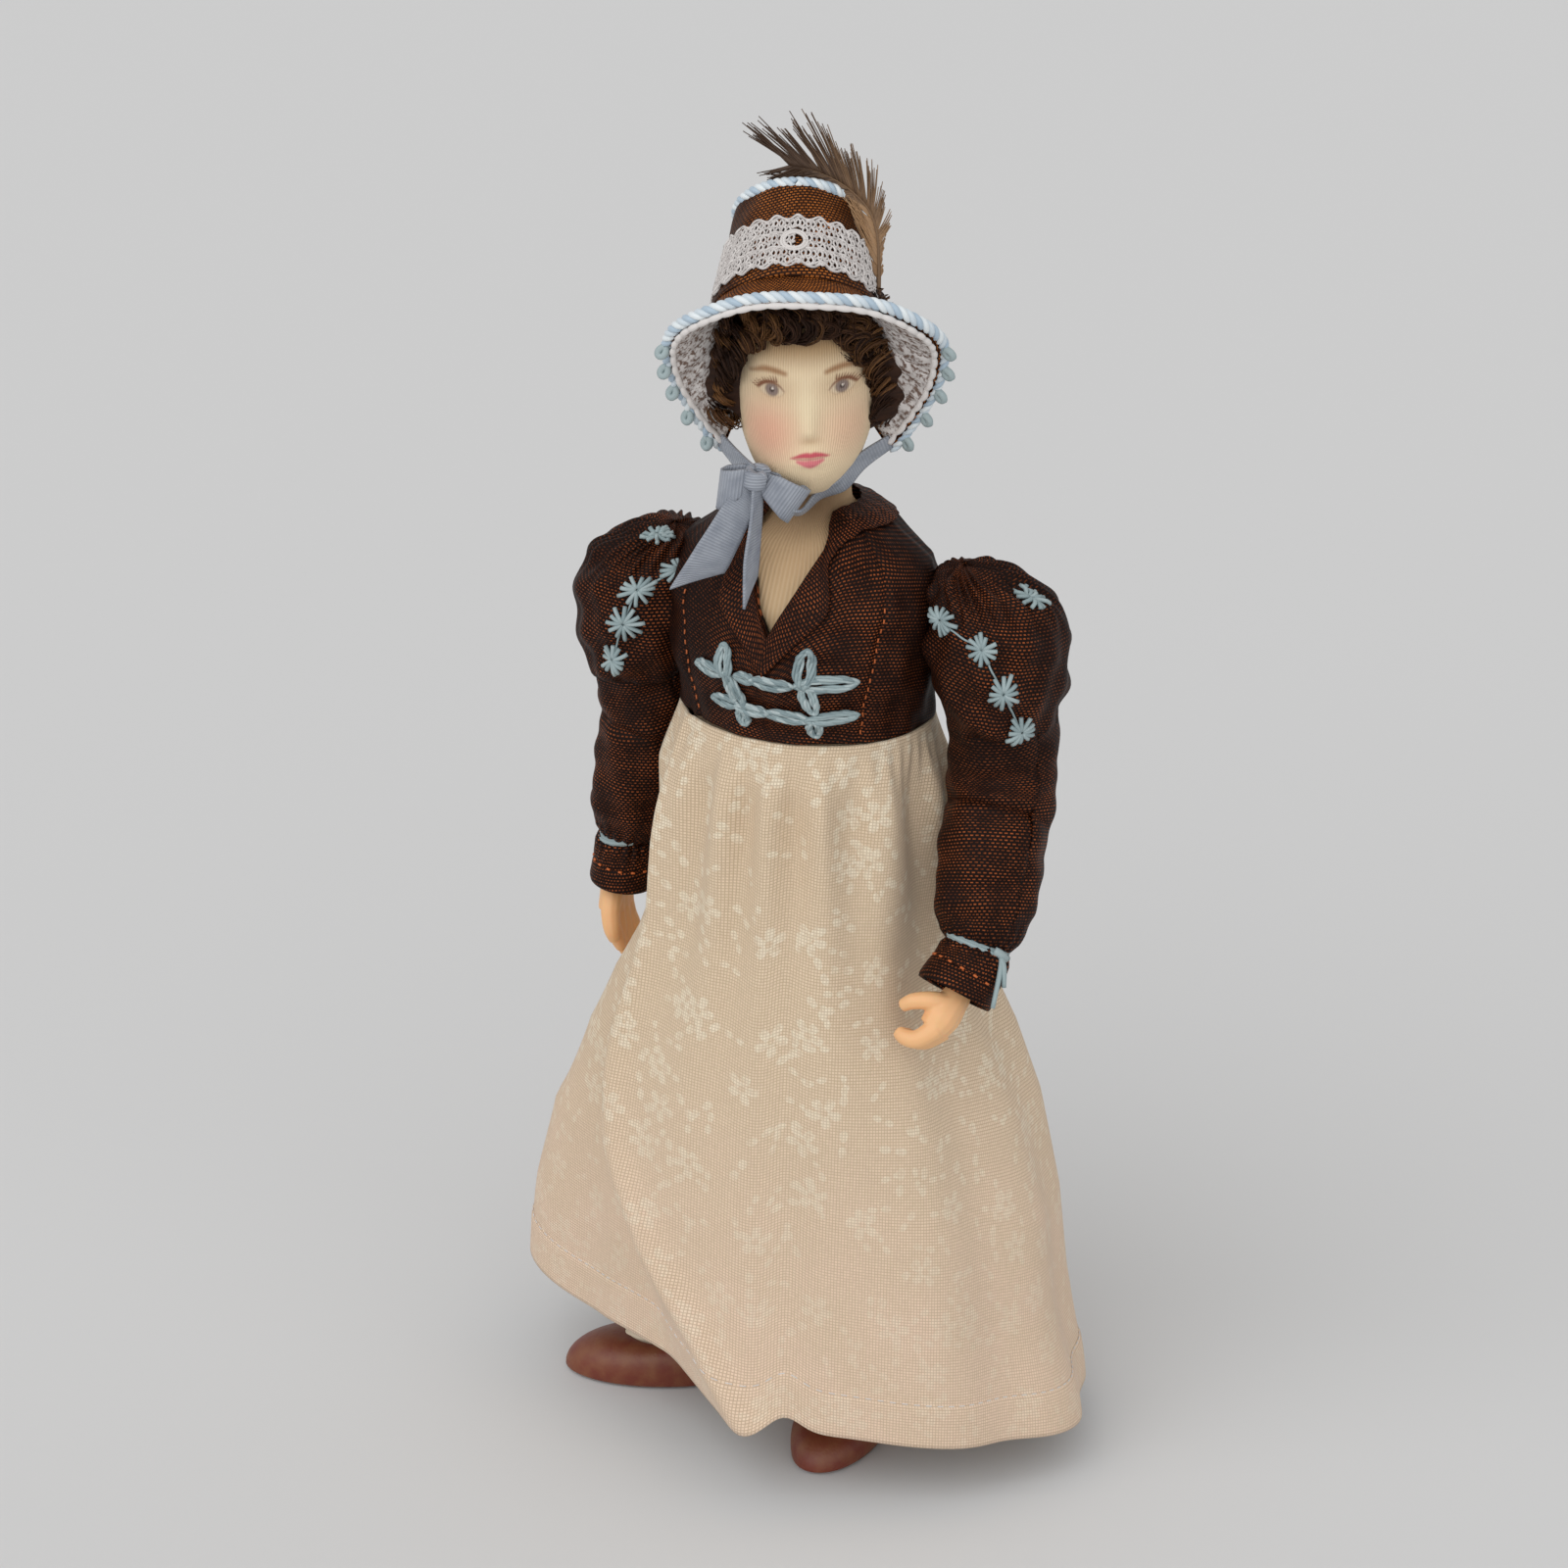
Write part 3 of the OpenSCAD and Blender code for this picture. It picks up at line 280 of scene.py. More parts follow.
def shaped_grid(name, across, along, place, uv, seam=True, thick=0.0, painted_shade=None):
    """A grid primitive laid over a surface: place and uv give points and print coordinates in mm.

    The last argument gives painted shade for silk: at each place, the share of its dark ground that covers
    the threads."""
    deselect()
    bpy.ops.mesh.primitive_grid_add(x_subdivisions=across, y_subdivisions=along, size=2)
    piece = start_piece(name)
    mesh = piece.data
    flat = np.empty(len(mesh.vertices) * 3)
    mesh.vertices.foreach_get("co", flat)
    u, v = (flat[0::3] + 1) / 2, (flat[1::3] + 1) / 2
    mesh.vertices.foreach_set("co", (place(u, v) * MM).ravel())
    corners = np.empty(len(mesh.loops), int)
    mesh.loops.foreach_get("vertex_index", corners)
    print_place = np.stack(np.broadcast_arrays(*uv(u, v)), -1)
    mesh.uv_layers[0].data.foreach_set("uv", print_place[corners].ravel())
    if painted_shade:
        mark(piece, "painted_shade", painted_shade(u, v))
    mesh.update()
    if seam:
        edit(piece, (bpy.ops.mesh.remove_doubles, {"threshold": 0.002 * MM}))
    if thick:
        modify(piece, "SOLIDIFY", thickness=thick * MM, offset=-1)
    choose(piece)
    bpy.ops.object.shade_smooth()
    return piece


def strands(name, paths, radii, sides=5, tones=0.5):
    """Many closed threads as one mesh; each has a path, its radii and a tone for its colour.

    One number for the radii or the tones goes for all paths."""
    radii, tones = ([x] * len(paths) if isinstance(x, float) else x for x in (radii, tones))
    points, faces, tone_of = [], [], []
    base = 0
    turn = np.arange(sides) * TAU / sides
    for k, path in enumerate(paths):
        path = np.asarray(path, float)
        count = len(path)
        radius = np.broadcast_to(np.asarray(radii[k], float), (count,))
        _, side, up = frames_along(path)
        ring = np.cos(turn)[None, :, None] * side[:, None] + np.sin(turn)[None, :, None] * up[:, None]
        ring = ring * radius[:, None, None]
        points.append((path[:, None] + ring).reshape(-1, 3))
        i, j = np.meshgrid(np.arange(count - 1), np.arange(sides), indexing="ij")
        a, b = base + i * sides + j, base + i * sides + (j + 1) % sides
        faces += np.stack([a, b, b + sides, a + sides], -1).reshape(-1, 4).tolist()
        faces.append(list(range(base + sides - 1, base - 1, -1)))
        faces.append(list(range(base + (count - 1) * sides, base + count * sides)))
        tone_of.append(np.full(count * sides, tones[k]))
        base += count * sides
    mesh = bpy.data.meshes.new(name)
    mesh.from_pydata((np.vstack(points) * MM).tolist(), [], faces)
    tone = mesh.attributes.new("tone", "FLOAT", "POINT")
    tone.data.foreach_set("value", np.concatenate(tone_of).astype(np.float32))
    piece = bpy.data.objects.new(name, mesh)
    bpy.context.scene.collection.objects.link(piece)
    choose(piece)
    bpy.ops.object.shade_smooth()
    return piece


def twisted(path, strand_count, radius, pitch):
    """Paths of the strands of a twisted cord, laid round a centre path."""
    path = np.asarray(path, float)
    step = np.concatenate([[0], np.cumsum(np.linalg.norm(np.diff(path, axis=0), axis=1))])
    _, side, up = frames_along(path)
    made = []
    for k in range(strand_count):
        a = TAU * (k / strand_count + step / pitch)
        made.append(path + radius * (np.cos(a)[:, None] * side + np.sin(a)[:, None] * up))
    return made


def finish_piece(piece, finish, body, slot, *nodes):
    """Gives a piece its finish by name, its body and the CAD nodes that it stands for; the slot is not used.
    """
    piece.data.materials.clear()
    piece.data.materials.append(materials()[finish])
    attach(piece, body)
    if nodes:
        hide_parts(*nodes)
    return piece


# Materials

def node(tree, kind, inputs=(), **settings):
    """Adds one shader node with its settings. Inputs come in order or by key: values, sockets to link, or
    nodes whose first output is linked."""
    made = tree.nodes.new("ShaderNode" + kind)
    for key, value in settings.items():
        setattr(made, key, value)
    for key, value in inputs.items() if isinstance(inputs, dict) else enumerate(inputs):
        if isinstance(value, bpy.types.Node):
            value = value.outputs[0]
        if isinstance(value, bpy.types.NodeSocket):
            tree.links.new(value, made.inputs[key])
        else:
            made.inputs[key].default_value = value
    return made


def material(name, build, roughness=0.8, bump=0.0, **surface):
    """A material whose build function gives its colour and, for bump, its height in millimetres."""
    made = bpy.data.materials.new(name)
    made.use_nodes = True
    tree = made.node_tree
    shader = tree.nodes["Principled BSDF"]
    shader.inputs["Roughness"].default_value = roughness
    for key, value in surface.items():
        shader.inputs[key.replace("_", " ")].default_value = value
    base, height = build(tree)
    tree.links.new(base, shader.inputs["Base Color"])
    if bump:
        raised = node(tree, "Bump", {"Strength": 1.0, "Distance": bump * MM, "Height": height})
        tree.links.new(raised.outputs[0], shader.inputs["Normal"])
    return made


def mottled(tree, where, scale, a, b, low=0.35, high=0.65):
    """Two colours in soft patches; scale is patches per unit of where."""
    patches = node(tree, "TexNoise", {"Vector": where, "Scale": scale, "Detail": 3.0})
    level = node(tree, "MapRange", (patches, low, high))
    return node(tree, "Mix", {"Factor": level, 6: a, 7: b}, data_type="RGBA").outputs[2]


def plain(colour_name, other=None, patches=300.0):
    """A colour with soft patches of another, in object space."""
    def build(tree):
        where = node(tree, "TexCoord").outputs["Object"]
        base = mottled(tree, where, patches, tint(colour_name), tint(other or colour_name))
        return base, node(tree, "TexNoise", {"Vector": where, "Scale": patches * 8}).outputs[0]
    return build


def by_tone(*names):
    """Colours by each thread's own tone, from the first at 0 to the last at 1."""
    def build(tree):
        tone = node(tree, "Attribute", attribute_name="tone").outputs["Fac"]
        ramp = node(tree, "ValToRGB", (tone,))
        stops = ramp.color_ramp.elements
        while len(stops) < len(names):
            stops.new(0.5)
        for i, name in enumerate(names):
            stops[i].position = i / (len(names) - 1)
            stops[i].color = tint(name)
        return ramp.outputs[0], tone
    return build


def woven(ground, thread, pitch, row, gap, slant=0.0, uneven=0.35):
    """Threads that show as small rounded bricks over a ground, on print coordinates in mm."""
    def build(tree):
        where = node(tree, "UVMap").outputs[0]
        slanted = node(tree, "VectorRotate", {"Vector": where, "Angle": slant}, rotation_type="Z_AXIS")
        bricks = node(tree, "TexBrick", {
            "Vector": slanted, "Scale": 1.0, "Mortar Size": gap, "Mortar Smooth": 0.45, "Bias": 0.0,
            "Brick Width": pitch, "Row Height": row, "Color1": tint(thread), "Color2": tint(thread),
            "Mortar": tint(ground)}, offset=0.5)
        # The ground shows more in slow patches, painted light and shade that stand in for uneven sheen, and
        # in single threads, which vary in tone at random
        slow = node(tree, "TexNoise", {"Vector": where, "Scale": 0.35, "Detail": 2.0})
        fine = node(tree, "TexNoise", {"Vector": where, "Scale": 2.6, "Detail": 1.0})
        both = node(tree, "Math", (slow, fine), operation="ADD")
        share = node(tree, "MapRange", (both, 0.85, 1.2, uneven, 0.0))
        base = node(tree, "Mix", {"Factor": share, 6: bricks, 7: tint(ground)}, data_type="RGBA").outputs[2]
        # Painted shade: a number given to each point lays the dark ground over the threads where the silk
        # turns from the light or lies in a fold
        away = node(tree, "Attribute", attribute_name="painted_shade").outputs["Fac"]
        painted_shade = node(tree, "Mix", {"Factor": away, 6: base, 7: tint(ground)}, data_type="RGBA")
        return painted_shade.outputs[2], bricks.outputs[1]
    return build


# Layers of the print, flowers and then leaves: cells in a pitch, reach, petals, turn, the two levels between
# which a petal widens, the share of the reach that stays between petals, and the share of empty cells
PRINT = ((1.3, 0.31, 5, 0.0, 0.15, 0.9, 0.42, 0.3), (1.7, 0.36, 2, 2.0, 0.72, 1.0, 0.0, 0.35),
         (2.2, 0.38, 2, 4.5, 0.72, 1.0, 0.0, 0.35))


def sprigs(tree, where, pitch, scale, reach, petals, turn, narrow, wide, waist, empty):
    """One layer of the print: flowers or leaf pairs with an open eye, each in a cell of a jittered grid."""
    cell = node(tree, "TexVoronoi", {"Vector": where, "Scale": scale / pitch, "Randomness": 0.8},
                voronoi_dimensions="2D")
    distance = cell.outputs["Distance"]
    away = node(tree, "VectorMath", (where, cell.outputs["Position"]), operation="SUBTRACT")
    parts = node(tree, "SeparateXYZ", (away,))
    bearing = node(tree, "Math", (parts.outputs[1], parts.outputs[0]), operation="ARCTAN2")
    chance = node(tree, "SeparateColor", (cell.outputs["Color"],))
    twist = node(tree, "Math", (chance, 6.28, turn), operation="MULTIPLY_ADD")
    wave = node(tree, "Math", (bearing, petals / 2, twist), operation="MULTIPLY_ADD")
    lobe = node(tree, "Math", (wave,), operation="COSINE")
    width = node(tree, "Math", (lobe,), operation="ABSOLUTE")
    edge = node(tree, "MapRange", (width, narrow, wide, reach * waist, reach))
    inside = node(tree, "Math", (edge, distance), operation="SUBTRACT")
    mask = node(tree, "MapRange", (inside, 0.0, 0.03))
    eye = node(tree, "MapRange", (distance, 0.05, 0.08))
    drawn = node(tree, "Math", (mask, eye), operation="MULTIPLY")
    kept = node(tree, "Math", (chance.outputs[1], empty), operation="GREATER_THAN")
    return node(tree, "Math", (drawn, kept), operation="MULTIPLY")


def printed_cotton(tree):
    """Cream cotton: an open weave and a pale print of scattered sprigs, fainter towards the hem."""
    size = sizes()
    where = node(tree, "UVMap").outputs[0]
    drift = node(tree, "TexNoise", {"Vector": where, "Scale": 0.12, "Detail": 2.0})
    hem_cast = node(tree, "Attribute", attribute_name="hem_cast").outputs["Fac"]
    cast = node(tree, "Math", (drift, hem_cast), operation="MULTIPLY")
    ground = node(tree, "Mix", {"Factor": cast, 6: tint("cotton"), 7: tint("cotton_shade")}, data_type="RGBA")
    shown, *leaves = [sprigs(tree, where, size.sprig_pitch, *layer) for layer in PRINT]
    for layer in leaves:
        shown = node(tree, "Math", (shown, layer), operation="MAXIMUM")
    worn = node(tree, "TexNoise", {"Vector": where, "Scale": 1.3, "Detail": 2.0})
    level = node(tree, "MapRange", (worn, 0.34, 0.52, 0.2, 0.62))
    fading = node(tree, "MapRange", (hem_cast, 0.0, HEM_CAST, 1.0, 0.4))
    level = node(tree, "Math", (level, fading), operation="MULTIPLY")
    shown = node(tree, "Math", (shown, level), operation="MULTIPLY")
    printed = node(tree, "Mix", {"Factor": shown, 6: ground.outputs[2], 7: tint("sprig")}, data_type="RGBA")
    # The weave: threads a third of a millimetre apart with small dark gaps
    bricks = node(tree, "TexBrick", {
        "Vector": where, "Scale": 1.0, "Mortar Size": 0.055, "Mortar Smooth": 0.6,
        "Brick Width": size.cotton_pitch, "Row Height": size.cotton_pitch, "Color1": (1, 1, 1, 1),
        "Color2": (0.93, 0.92, 0.90, 1), "Mortar": (0.74, 0.69, 0.62, 1)}, offset=0.0)
    base = node(tree, "Mix", {"Factor": 1.0, 6: printed.outputs[2], 7: bricks}, data_type="RGBA",
                blend_type="MULTIPLY")
    return base.outputs[2], bricks.outputs[1]


def specked(tree):
    """White lace threads with the dark silk under them in small uneven specks, on print coordinates in mm."""
    where = node(tree, "UVMap").outputs[0]
    small = node(tree, "TexNoise", {"Vector": where, "Scale": 1.9, "Detail": 2.0, "Roughness": 0.6})
    holes = node(tree, "MapRange", (small, 0.46, 0.60))
    soft = mottled(tree, where, 0.5, tint("lace"), tint("lining"))
    base = node(tree, "Mix", {"Factor": holes, 6: soft, 7: tint("speck")}, data_type="RGBA")
    return base.outputs[2], small.outputs[0]


def ribbed(base_colour, shade_colour, pitch, amount, painted=False, across="X"):
    """Fine ribs on print coordinates in mm, over one colour or over the painted colours of the piece."""
    def build(tree):
        where = node(tree, "UVMap").outputs[0]
        ribs = node(tree, "TexWave", {"Vector": where, "Scale": TAU / 20 / pitch, "Distortion": 0.0},
                    bands_direction=across)
        # Painted shade: the valleys between the ribs are coloured darker
        valley = node(tree, "MapRange", (ribs.outputs[1], 0.0, 1.0, amount, 0.0))
        if painted:
            base = node(tree, "Attribute", attribute_name="paint").outputs["Color"]
            dark = node(tree, "Mix", {"Factor": 1.0, 6: base, 7: (0.80, 0.71, 0.60, 1)}, data_type="RGBA",
                        blend_type="MULTIPLY").outputs[2]
        else:
            base = mottled(tree, where, 0.4, tint(base_colour), tint(shade_colour), 0.4, 0.75)
            dark = tint(shade_colour)
        mix = node(tree, "Mix", {"Factor": valley, 6: base, 7: dark}, data_type="RGBA")
        return mix.outputs[2], ribs.outputs[1]
    return build


def materials():
    """The finishes, each named for the real material and made once."""
    if "shot silk" in bpy.data.materials:
        return bpy.data.materials
    size = sizes()
    # Near black cloth with copper threads that catch the light, drawn a fifth coarser than real to show
    material("shot silk", woven("silk_ground", "silk_thread", size.silk_pitch, 0.31, 0.122, 0.12, 0.8),
             0.55, 0.05, Specular_IOR_Level=0.1)
    # The same silk with more copper than black
    material("bonnet silk", woven("bonnet_ground", "bonnet_thread", size.silk_pitch, 0.3, 0.1, 0.1, 0.6),
             0.5, 0.05, Specular_IOR_Level=0.12)
    # Matt cream cloth with a pale print
    material("printed cotton", printed_cotton, 0.9, 0.06, Sheen_Weight=0.1)
    # Skin of fine upright ribs that carries paint, and stockings of the same knit
    material("painted knit", ribbed("skin", "skin_shade", size.knit_pitch, 0.5, True), 0.8, 0.05)
    material("stocking knit", ribbed("stocking", "skin", size.knit_pitch, 0.4), 0.85, 0.05)
    # Smooth baked clay, a little waxy
    material("modelling clay", plain("clay"), 0.5, 0.0, Subsurface_Weight=0.15,
             Subsurface_Scale=0.8 * MM)
    # Shiny strands that go from deep to pale blue; the pale blue is painted highlight
    material("satin cord", by_tone("cord_deep", "cord_mid", "cord_highlight"), 0.32, 0.0, Sheen_Weight=0.2)
    material("embroidery floss", by_tone("floss_shade", "floss", "floss_pale"), 0.55)
    material("seam thread", by_tone("silk_thread", "seam_thread"), 0.6)
    material("silk ribbon", ribbed("ribbon", "ribbon_shade", size.ribbon_pitch, 0.55, False, "Y"), 0.5, 0.05,
             Sheen_Weight=0.1)
    material("curled fibre", by_tone("silk_ground", "hair", "hair_light"), 0.6,
             Specular_IOR_Level=0.2)
    material("lace thread", by_tone("lining", "lace"), 0.85)
    # White knitted lace over dark silk, which shows through as specks
    material("brim lining", specked, 0.85, 0.08)
    material("feather barb", by_tone("feather_tip", "feather"), 0.6)
    material("slipper leather", plain("leather", "lids", 500.0), 0.45, 0.04)
    material("armature wire", plain("stocking"), 0.3, 0.0, Metallic=1.0)
    return bpy.data.materials


# The body and its clothes

# Sections of the torso: height, half width, half depth, middle
TORSO = np.array([[64.95, 9, 6.6, 0.6], [66.35, 11.2, 8.8, 0.6], [71, 9.6, 7.6, 0.3], [79, 11.4, 8.8, 0],
                  [86, 12.6, 9.7, -0.6], [92, 12.8, 8.4, -0.3], [96, 11.5, 6.5, 0.3], [99, 7.5, 4.8, 1],
                  [100.5, 4.5, 4.2, 1.5]])
JACKET_AWAY = 1.15
JACKET_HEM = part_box("jacket_body")[0].z / MM
JACKET_TOP = 100.3
V_LOW, V_HALF_WIDTH = 90.2, 4.9
FROG_ROWS = (85.9, 82.5)


def torso_at(z):
    """Half width, half depth and middle of the torso at a height."""
    return [np.interp(z, TORSO[:, 0], TORSO[:, i]) for i in (1, 2, 3)]


def on_torso(bearing, z, away):
    """A point round the torso; the bearing is 0 at the front and grows to the doll's left."""
    rx, ry, mid = torso_at(z)
    return np.stack(np.broadcast_arrays((rx + away) * np.sin(bearing), mid - (ry + away) * np.cos(bearing),
                                        np.asarray(z, float)), -1)


def from_back(u):
    """Bearing round a piece whose seam is at the back."""
    return TAU * (u - 0.5)


def neckline(bearing):
    """Height of the jacket's top edge: a V at the front, level round the rest."""
    low = np.full(np.shape(bearing), V_LOW)
    high = np.full(np.shape(bearing), JACKET_TOP)
    across = np.where(np.cos(bearing) > 0, np.abs(np.sin(bearing)), 1.0)
    for _ in range(30):
        z = (low + high) / 2
        rises = (JACKET_TOP - V_LOW) * (torso_at(z)[0] + JACKET_AWAY) * across / V_HALF_WIDTH
        above = z - V_LOW > rises
        high = np.where(above, z, high)
        low = np.where(above, low, z)
    return low


def jacket_surface(bearing, z, away=JACKET_AWAY):
    """The jacket with its creases, its front edge and its side front seams."""
    reach = bearing * 12
    creases = ripple(reach, z, ((0.5, 0.9, 0.4, 0.14), (1.1, -0.6, 2.0, 0.10), (0.25, 1.9, 1.0, 0.07),
                                (2.1, 0.5, 0.3, 0.05)))
    pull = 0.16 * np.sin(z * 2.4 + 0.5 * np.sin(bearing * 5)) * hump(bearing, 0.1, 0.5) * ease(94, 88, z)
    front = 0.22 * ease(-0.03, 0.02, bearing) * hump(bearing, 0.1, 0.22)
    seams = sum(-0.32 * hump(reach, side * (8.6 + 0.13 * (z - 79)), 0.35) for side in (1, -1))
    hem = 0.25 * hump(z, JACKET_HEM, 0.8)
    return on_torso(bearing, z, away + creases + pull + front + seams + hem)


def mark(piece, name, values):
    """Writes a number to each point of a piece for its material."""
    layer = piece.data.attributes.new(name, "FLOAT", "POINT")
    layer.data.foreach_set("value", np.asarray(values, np.float32))


def colour_points(piece, tints):
    """Paints each point of a piece for its material."""
    paint = piece.data.color_attributes.new("paint", "FLOAT_COLOR", "POINT")
    rgba = np.ones((len(tints), 4), np.float32)
    rgba[:, :3] = tints
    paint.data.foreach_set("color", rgba.ravel())


def points_of(piece):
    flat = np.empty(len(piece.data.vertices) * 3)
    piece.data.vertices.foreach_get("co", flat)
    return flat.reshape(-1, 3) / MM


class DOLL_OT_body(bpy.types.Operator):
    """Knit skin of the chest and neck over the stuffing"""
    bl_idname = "doll.body"
    bl_label = "Chest and neck"

    def execute(self, context):
        low, high = TORSO[0, 0], NOD[2] + 0.5
        neck_r = 3.7

        def place(u, v):
            bearing = from_back(u)
            z = low + (high - low) * v
            rx, ry, mid = torso_at(np.minimum(z, 100.5))
            neck = ease(97.5, 101.5, z)
            rx, ry = rx * (1 - neck) + neck_r * neck, ry * (1 - neck) + neck_r * neck
            mid = mid * (1 - neck) + NECK_AXIS[1] * neck
            # Collar bones and the hollow between them
            bones = 0.35 * hump(z, 98.2, 1.0) * hump(np.abs(bearing), 0.45, 0.28)
            hollow = -0.45 * hump(z, 98.9, 1.2) * hump(bearing, 0, 0.25)
            away = bones + hollow
            return np.stack([(rx + away) * np.sin(bearing), mid - (ry + away) * np.cos(bearing), z], -1)

        skin = shaped_grid("chest_and_neck", 72, 90, place, lambda u, v: (TAU * 9 * (u - 0.5), 42 * v))
        face_out(skin, True)
        points = points_of(skin)
        # Paler on the chest, and in the bonnet's shade at the front of the neck
        chest = np.array(colours().skin_shade)
        throat, shaded = np.array(linear("#C8A983")), np.array(linear("#8A6E50"))
        paint = throat + ease(97, 92, points[:, 2:]) * (chest - throat)
        paint = paint + ease(97.5, 101, points[:, 2:]) * ease(3, -2, points[:, 1:2]) * (shaded - paint)
        colour_points(skin, paint)
        skin.data.materials.append(materials()["painted knit"])
        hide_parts("torso_stuffing", "neck_stuffing")
        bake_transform(skin)
        wires = [name for name in frame["nodes"] if name.endswith("wire") or "_wire_" in name]
        for name in wires + ["skirt_waistband"]:
            kept = frame["nodes"][name].data.materials
            kept.clear()
            kept.append(materials()["armature wire" if "wire" in name else "printed cotton"])
        return {"FINISHED"}


class DOLL_OT_jacket(bpy.types.Operator):
    """Silk jacket with its V neck, rolled collar and seams"""
    bl_idname = "doll.jacket"
    bl_label = "Jacket"

    def execute(self, context):
        def place(u, v):
            bearing = from_back(u)
            return jacket_surface(bearing, JACKET_HEM + (neckline(bearing) - JACKET_HEM) * v)

        # The jacket gets painted shade towards its sides, where it turns from the light
        jacket = shaped_grid("jacket", 220, 90, place, lambda u, v: (TAU * 13 * (u - 0.5), 20 * v), True, 0.5,
                             lambda u, v: 0.7 * ease(0.4, 0.95, np.abs(np.sin(from_back(u) - 0.3))))
        finish_piece(jacket, "shot silk", "torso", "shot_silk", "jacket_body")

        # The collar is a soft roll that lies along the neckline, wide at the lapels
        samples = np.linspace(-1, 1, 400) * math.pi * 0.985
        edge_line = on_torso(samples, neckline(samples), JACKET_AWAY)
        run = np.concatenate([[0], np.cumsum(np.linalg.norm(np.diff(edge_line, axis=0), axis=1))])

        def roll(u, v):
            bearing = np.interp(v * run[-1], run, samples)
            s = np.abs(v - 0.5) * run[-1]
            turn = TAU * u
            # From the inner edge, 0, to the outer one, 1
            c = (1 + np.cos(turn)) / 2
            neck = ease(9, 12.5, s)
            wide = 0.43 * s * ease(10.5, 5.8, s)
            drop = np.interp(s, [0, 7, 10, 25], [3.7, 2.7, 1.3, 1.7])
            z = neckline(bearing) + 0.6 * neck - drop * c
            reach = bearing + np.sign(bearing) * wide * c / (torso_at(z)[0] + 1)
            lies = JACKET_AWAY + 0.45
            away = lies * (1 - neck) + neck * (0.1 + (lies - 0.1) * ease(0, 0.45, c))
            soft = 0.07 * np.sin(bearing * 23 + 2 * c) + 0.28 * hump(c, 1, 0.25) + 0.15 * hump(c, 0, 0.2)
            return on_torso(reach, z, away + soft + 0.22 * np.sin(turn))

        collar = shaped_grid("collar", 28, 220, roll, lambda u, v: (11 * u, run[-1] * v))
        face_out(collar, True)
        finish_piece(collar, "shot silk", "torso", "shot_silk", "jacket_collar")

        # Orange stitches along the side front seams
        paths = []
        for side in (1, -1):
            for z in np.arange(80.3, 93.5, 0.95):
                bearing = side * (8.6 + 0.13 * (z - 79)) / 12
                line = z + np.linspace(0, 0.42, 4)
                paths.append(jacket_surface(np.full(4, bearing), line, JACKET_AWAY + 0.2))
        stitches = strands("seam_stitches", paths, 0.09, 5, 0.6)
        finish_piece(stitches, "seam thread", "torso", "shot_silk")
        return {"FINISHED"}


# Skirt sections: share of the drop from the waist to the hem, half width, half depth
SKIRT = np.array([[0, 13.0, 10.4], [0.06, 13.8, 12.1], [0.2, 15.6, 13.6], [0.3, 16.8, 14.7],
                  [0.38, 19.1, 15.9], [0.46, 22.1, 17.0], [0.56, 24.9, 18.1], [0.7, 27.2, 19.2],
                  [0.86, 28.6, 20.0], [1, 29.3, 20.5]])
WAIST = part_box("skirt")[1].z / MM
HEM_MIDDLE, HEM_TILT = 9.0, 3.9
# Where the main fold's ridge runs, as share of the drop and bearing in degrees, and the width of its side
RIDGE = np.array([[0, -52], [0.15, -50], [0.3, -46], [0.5, -41], [0.65, -34], [0.8, -20], [1, 3]])
RIDGE_SIDE = ((0, 0.6, 1), (7, 8, 28))


def wrapped(degrees):
    return (degrees + 180) % 360 - 180


def hem_height(bearing):
    """The hem dips on the doll's left, at the right front and where the main fold ends, beside a notch."""
    degrees = np.degrees(bearing)
    return (HEM_MIDDLE - HEM_TILT * np.sin(bearing) - 1.2 * hump(degrees, 3, 8) - 0.6 * hump(degrees, 100, 30)
            + 1.8 * hump(degrees, 11, 4.5) - 1.5 * hump(degrees, -62, 22))


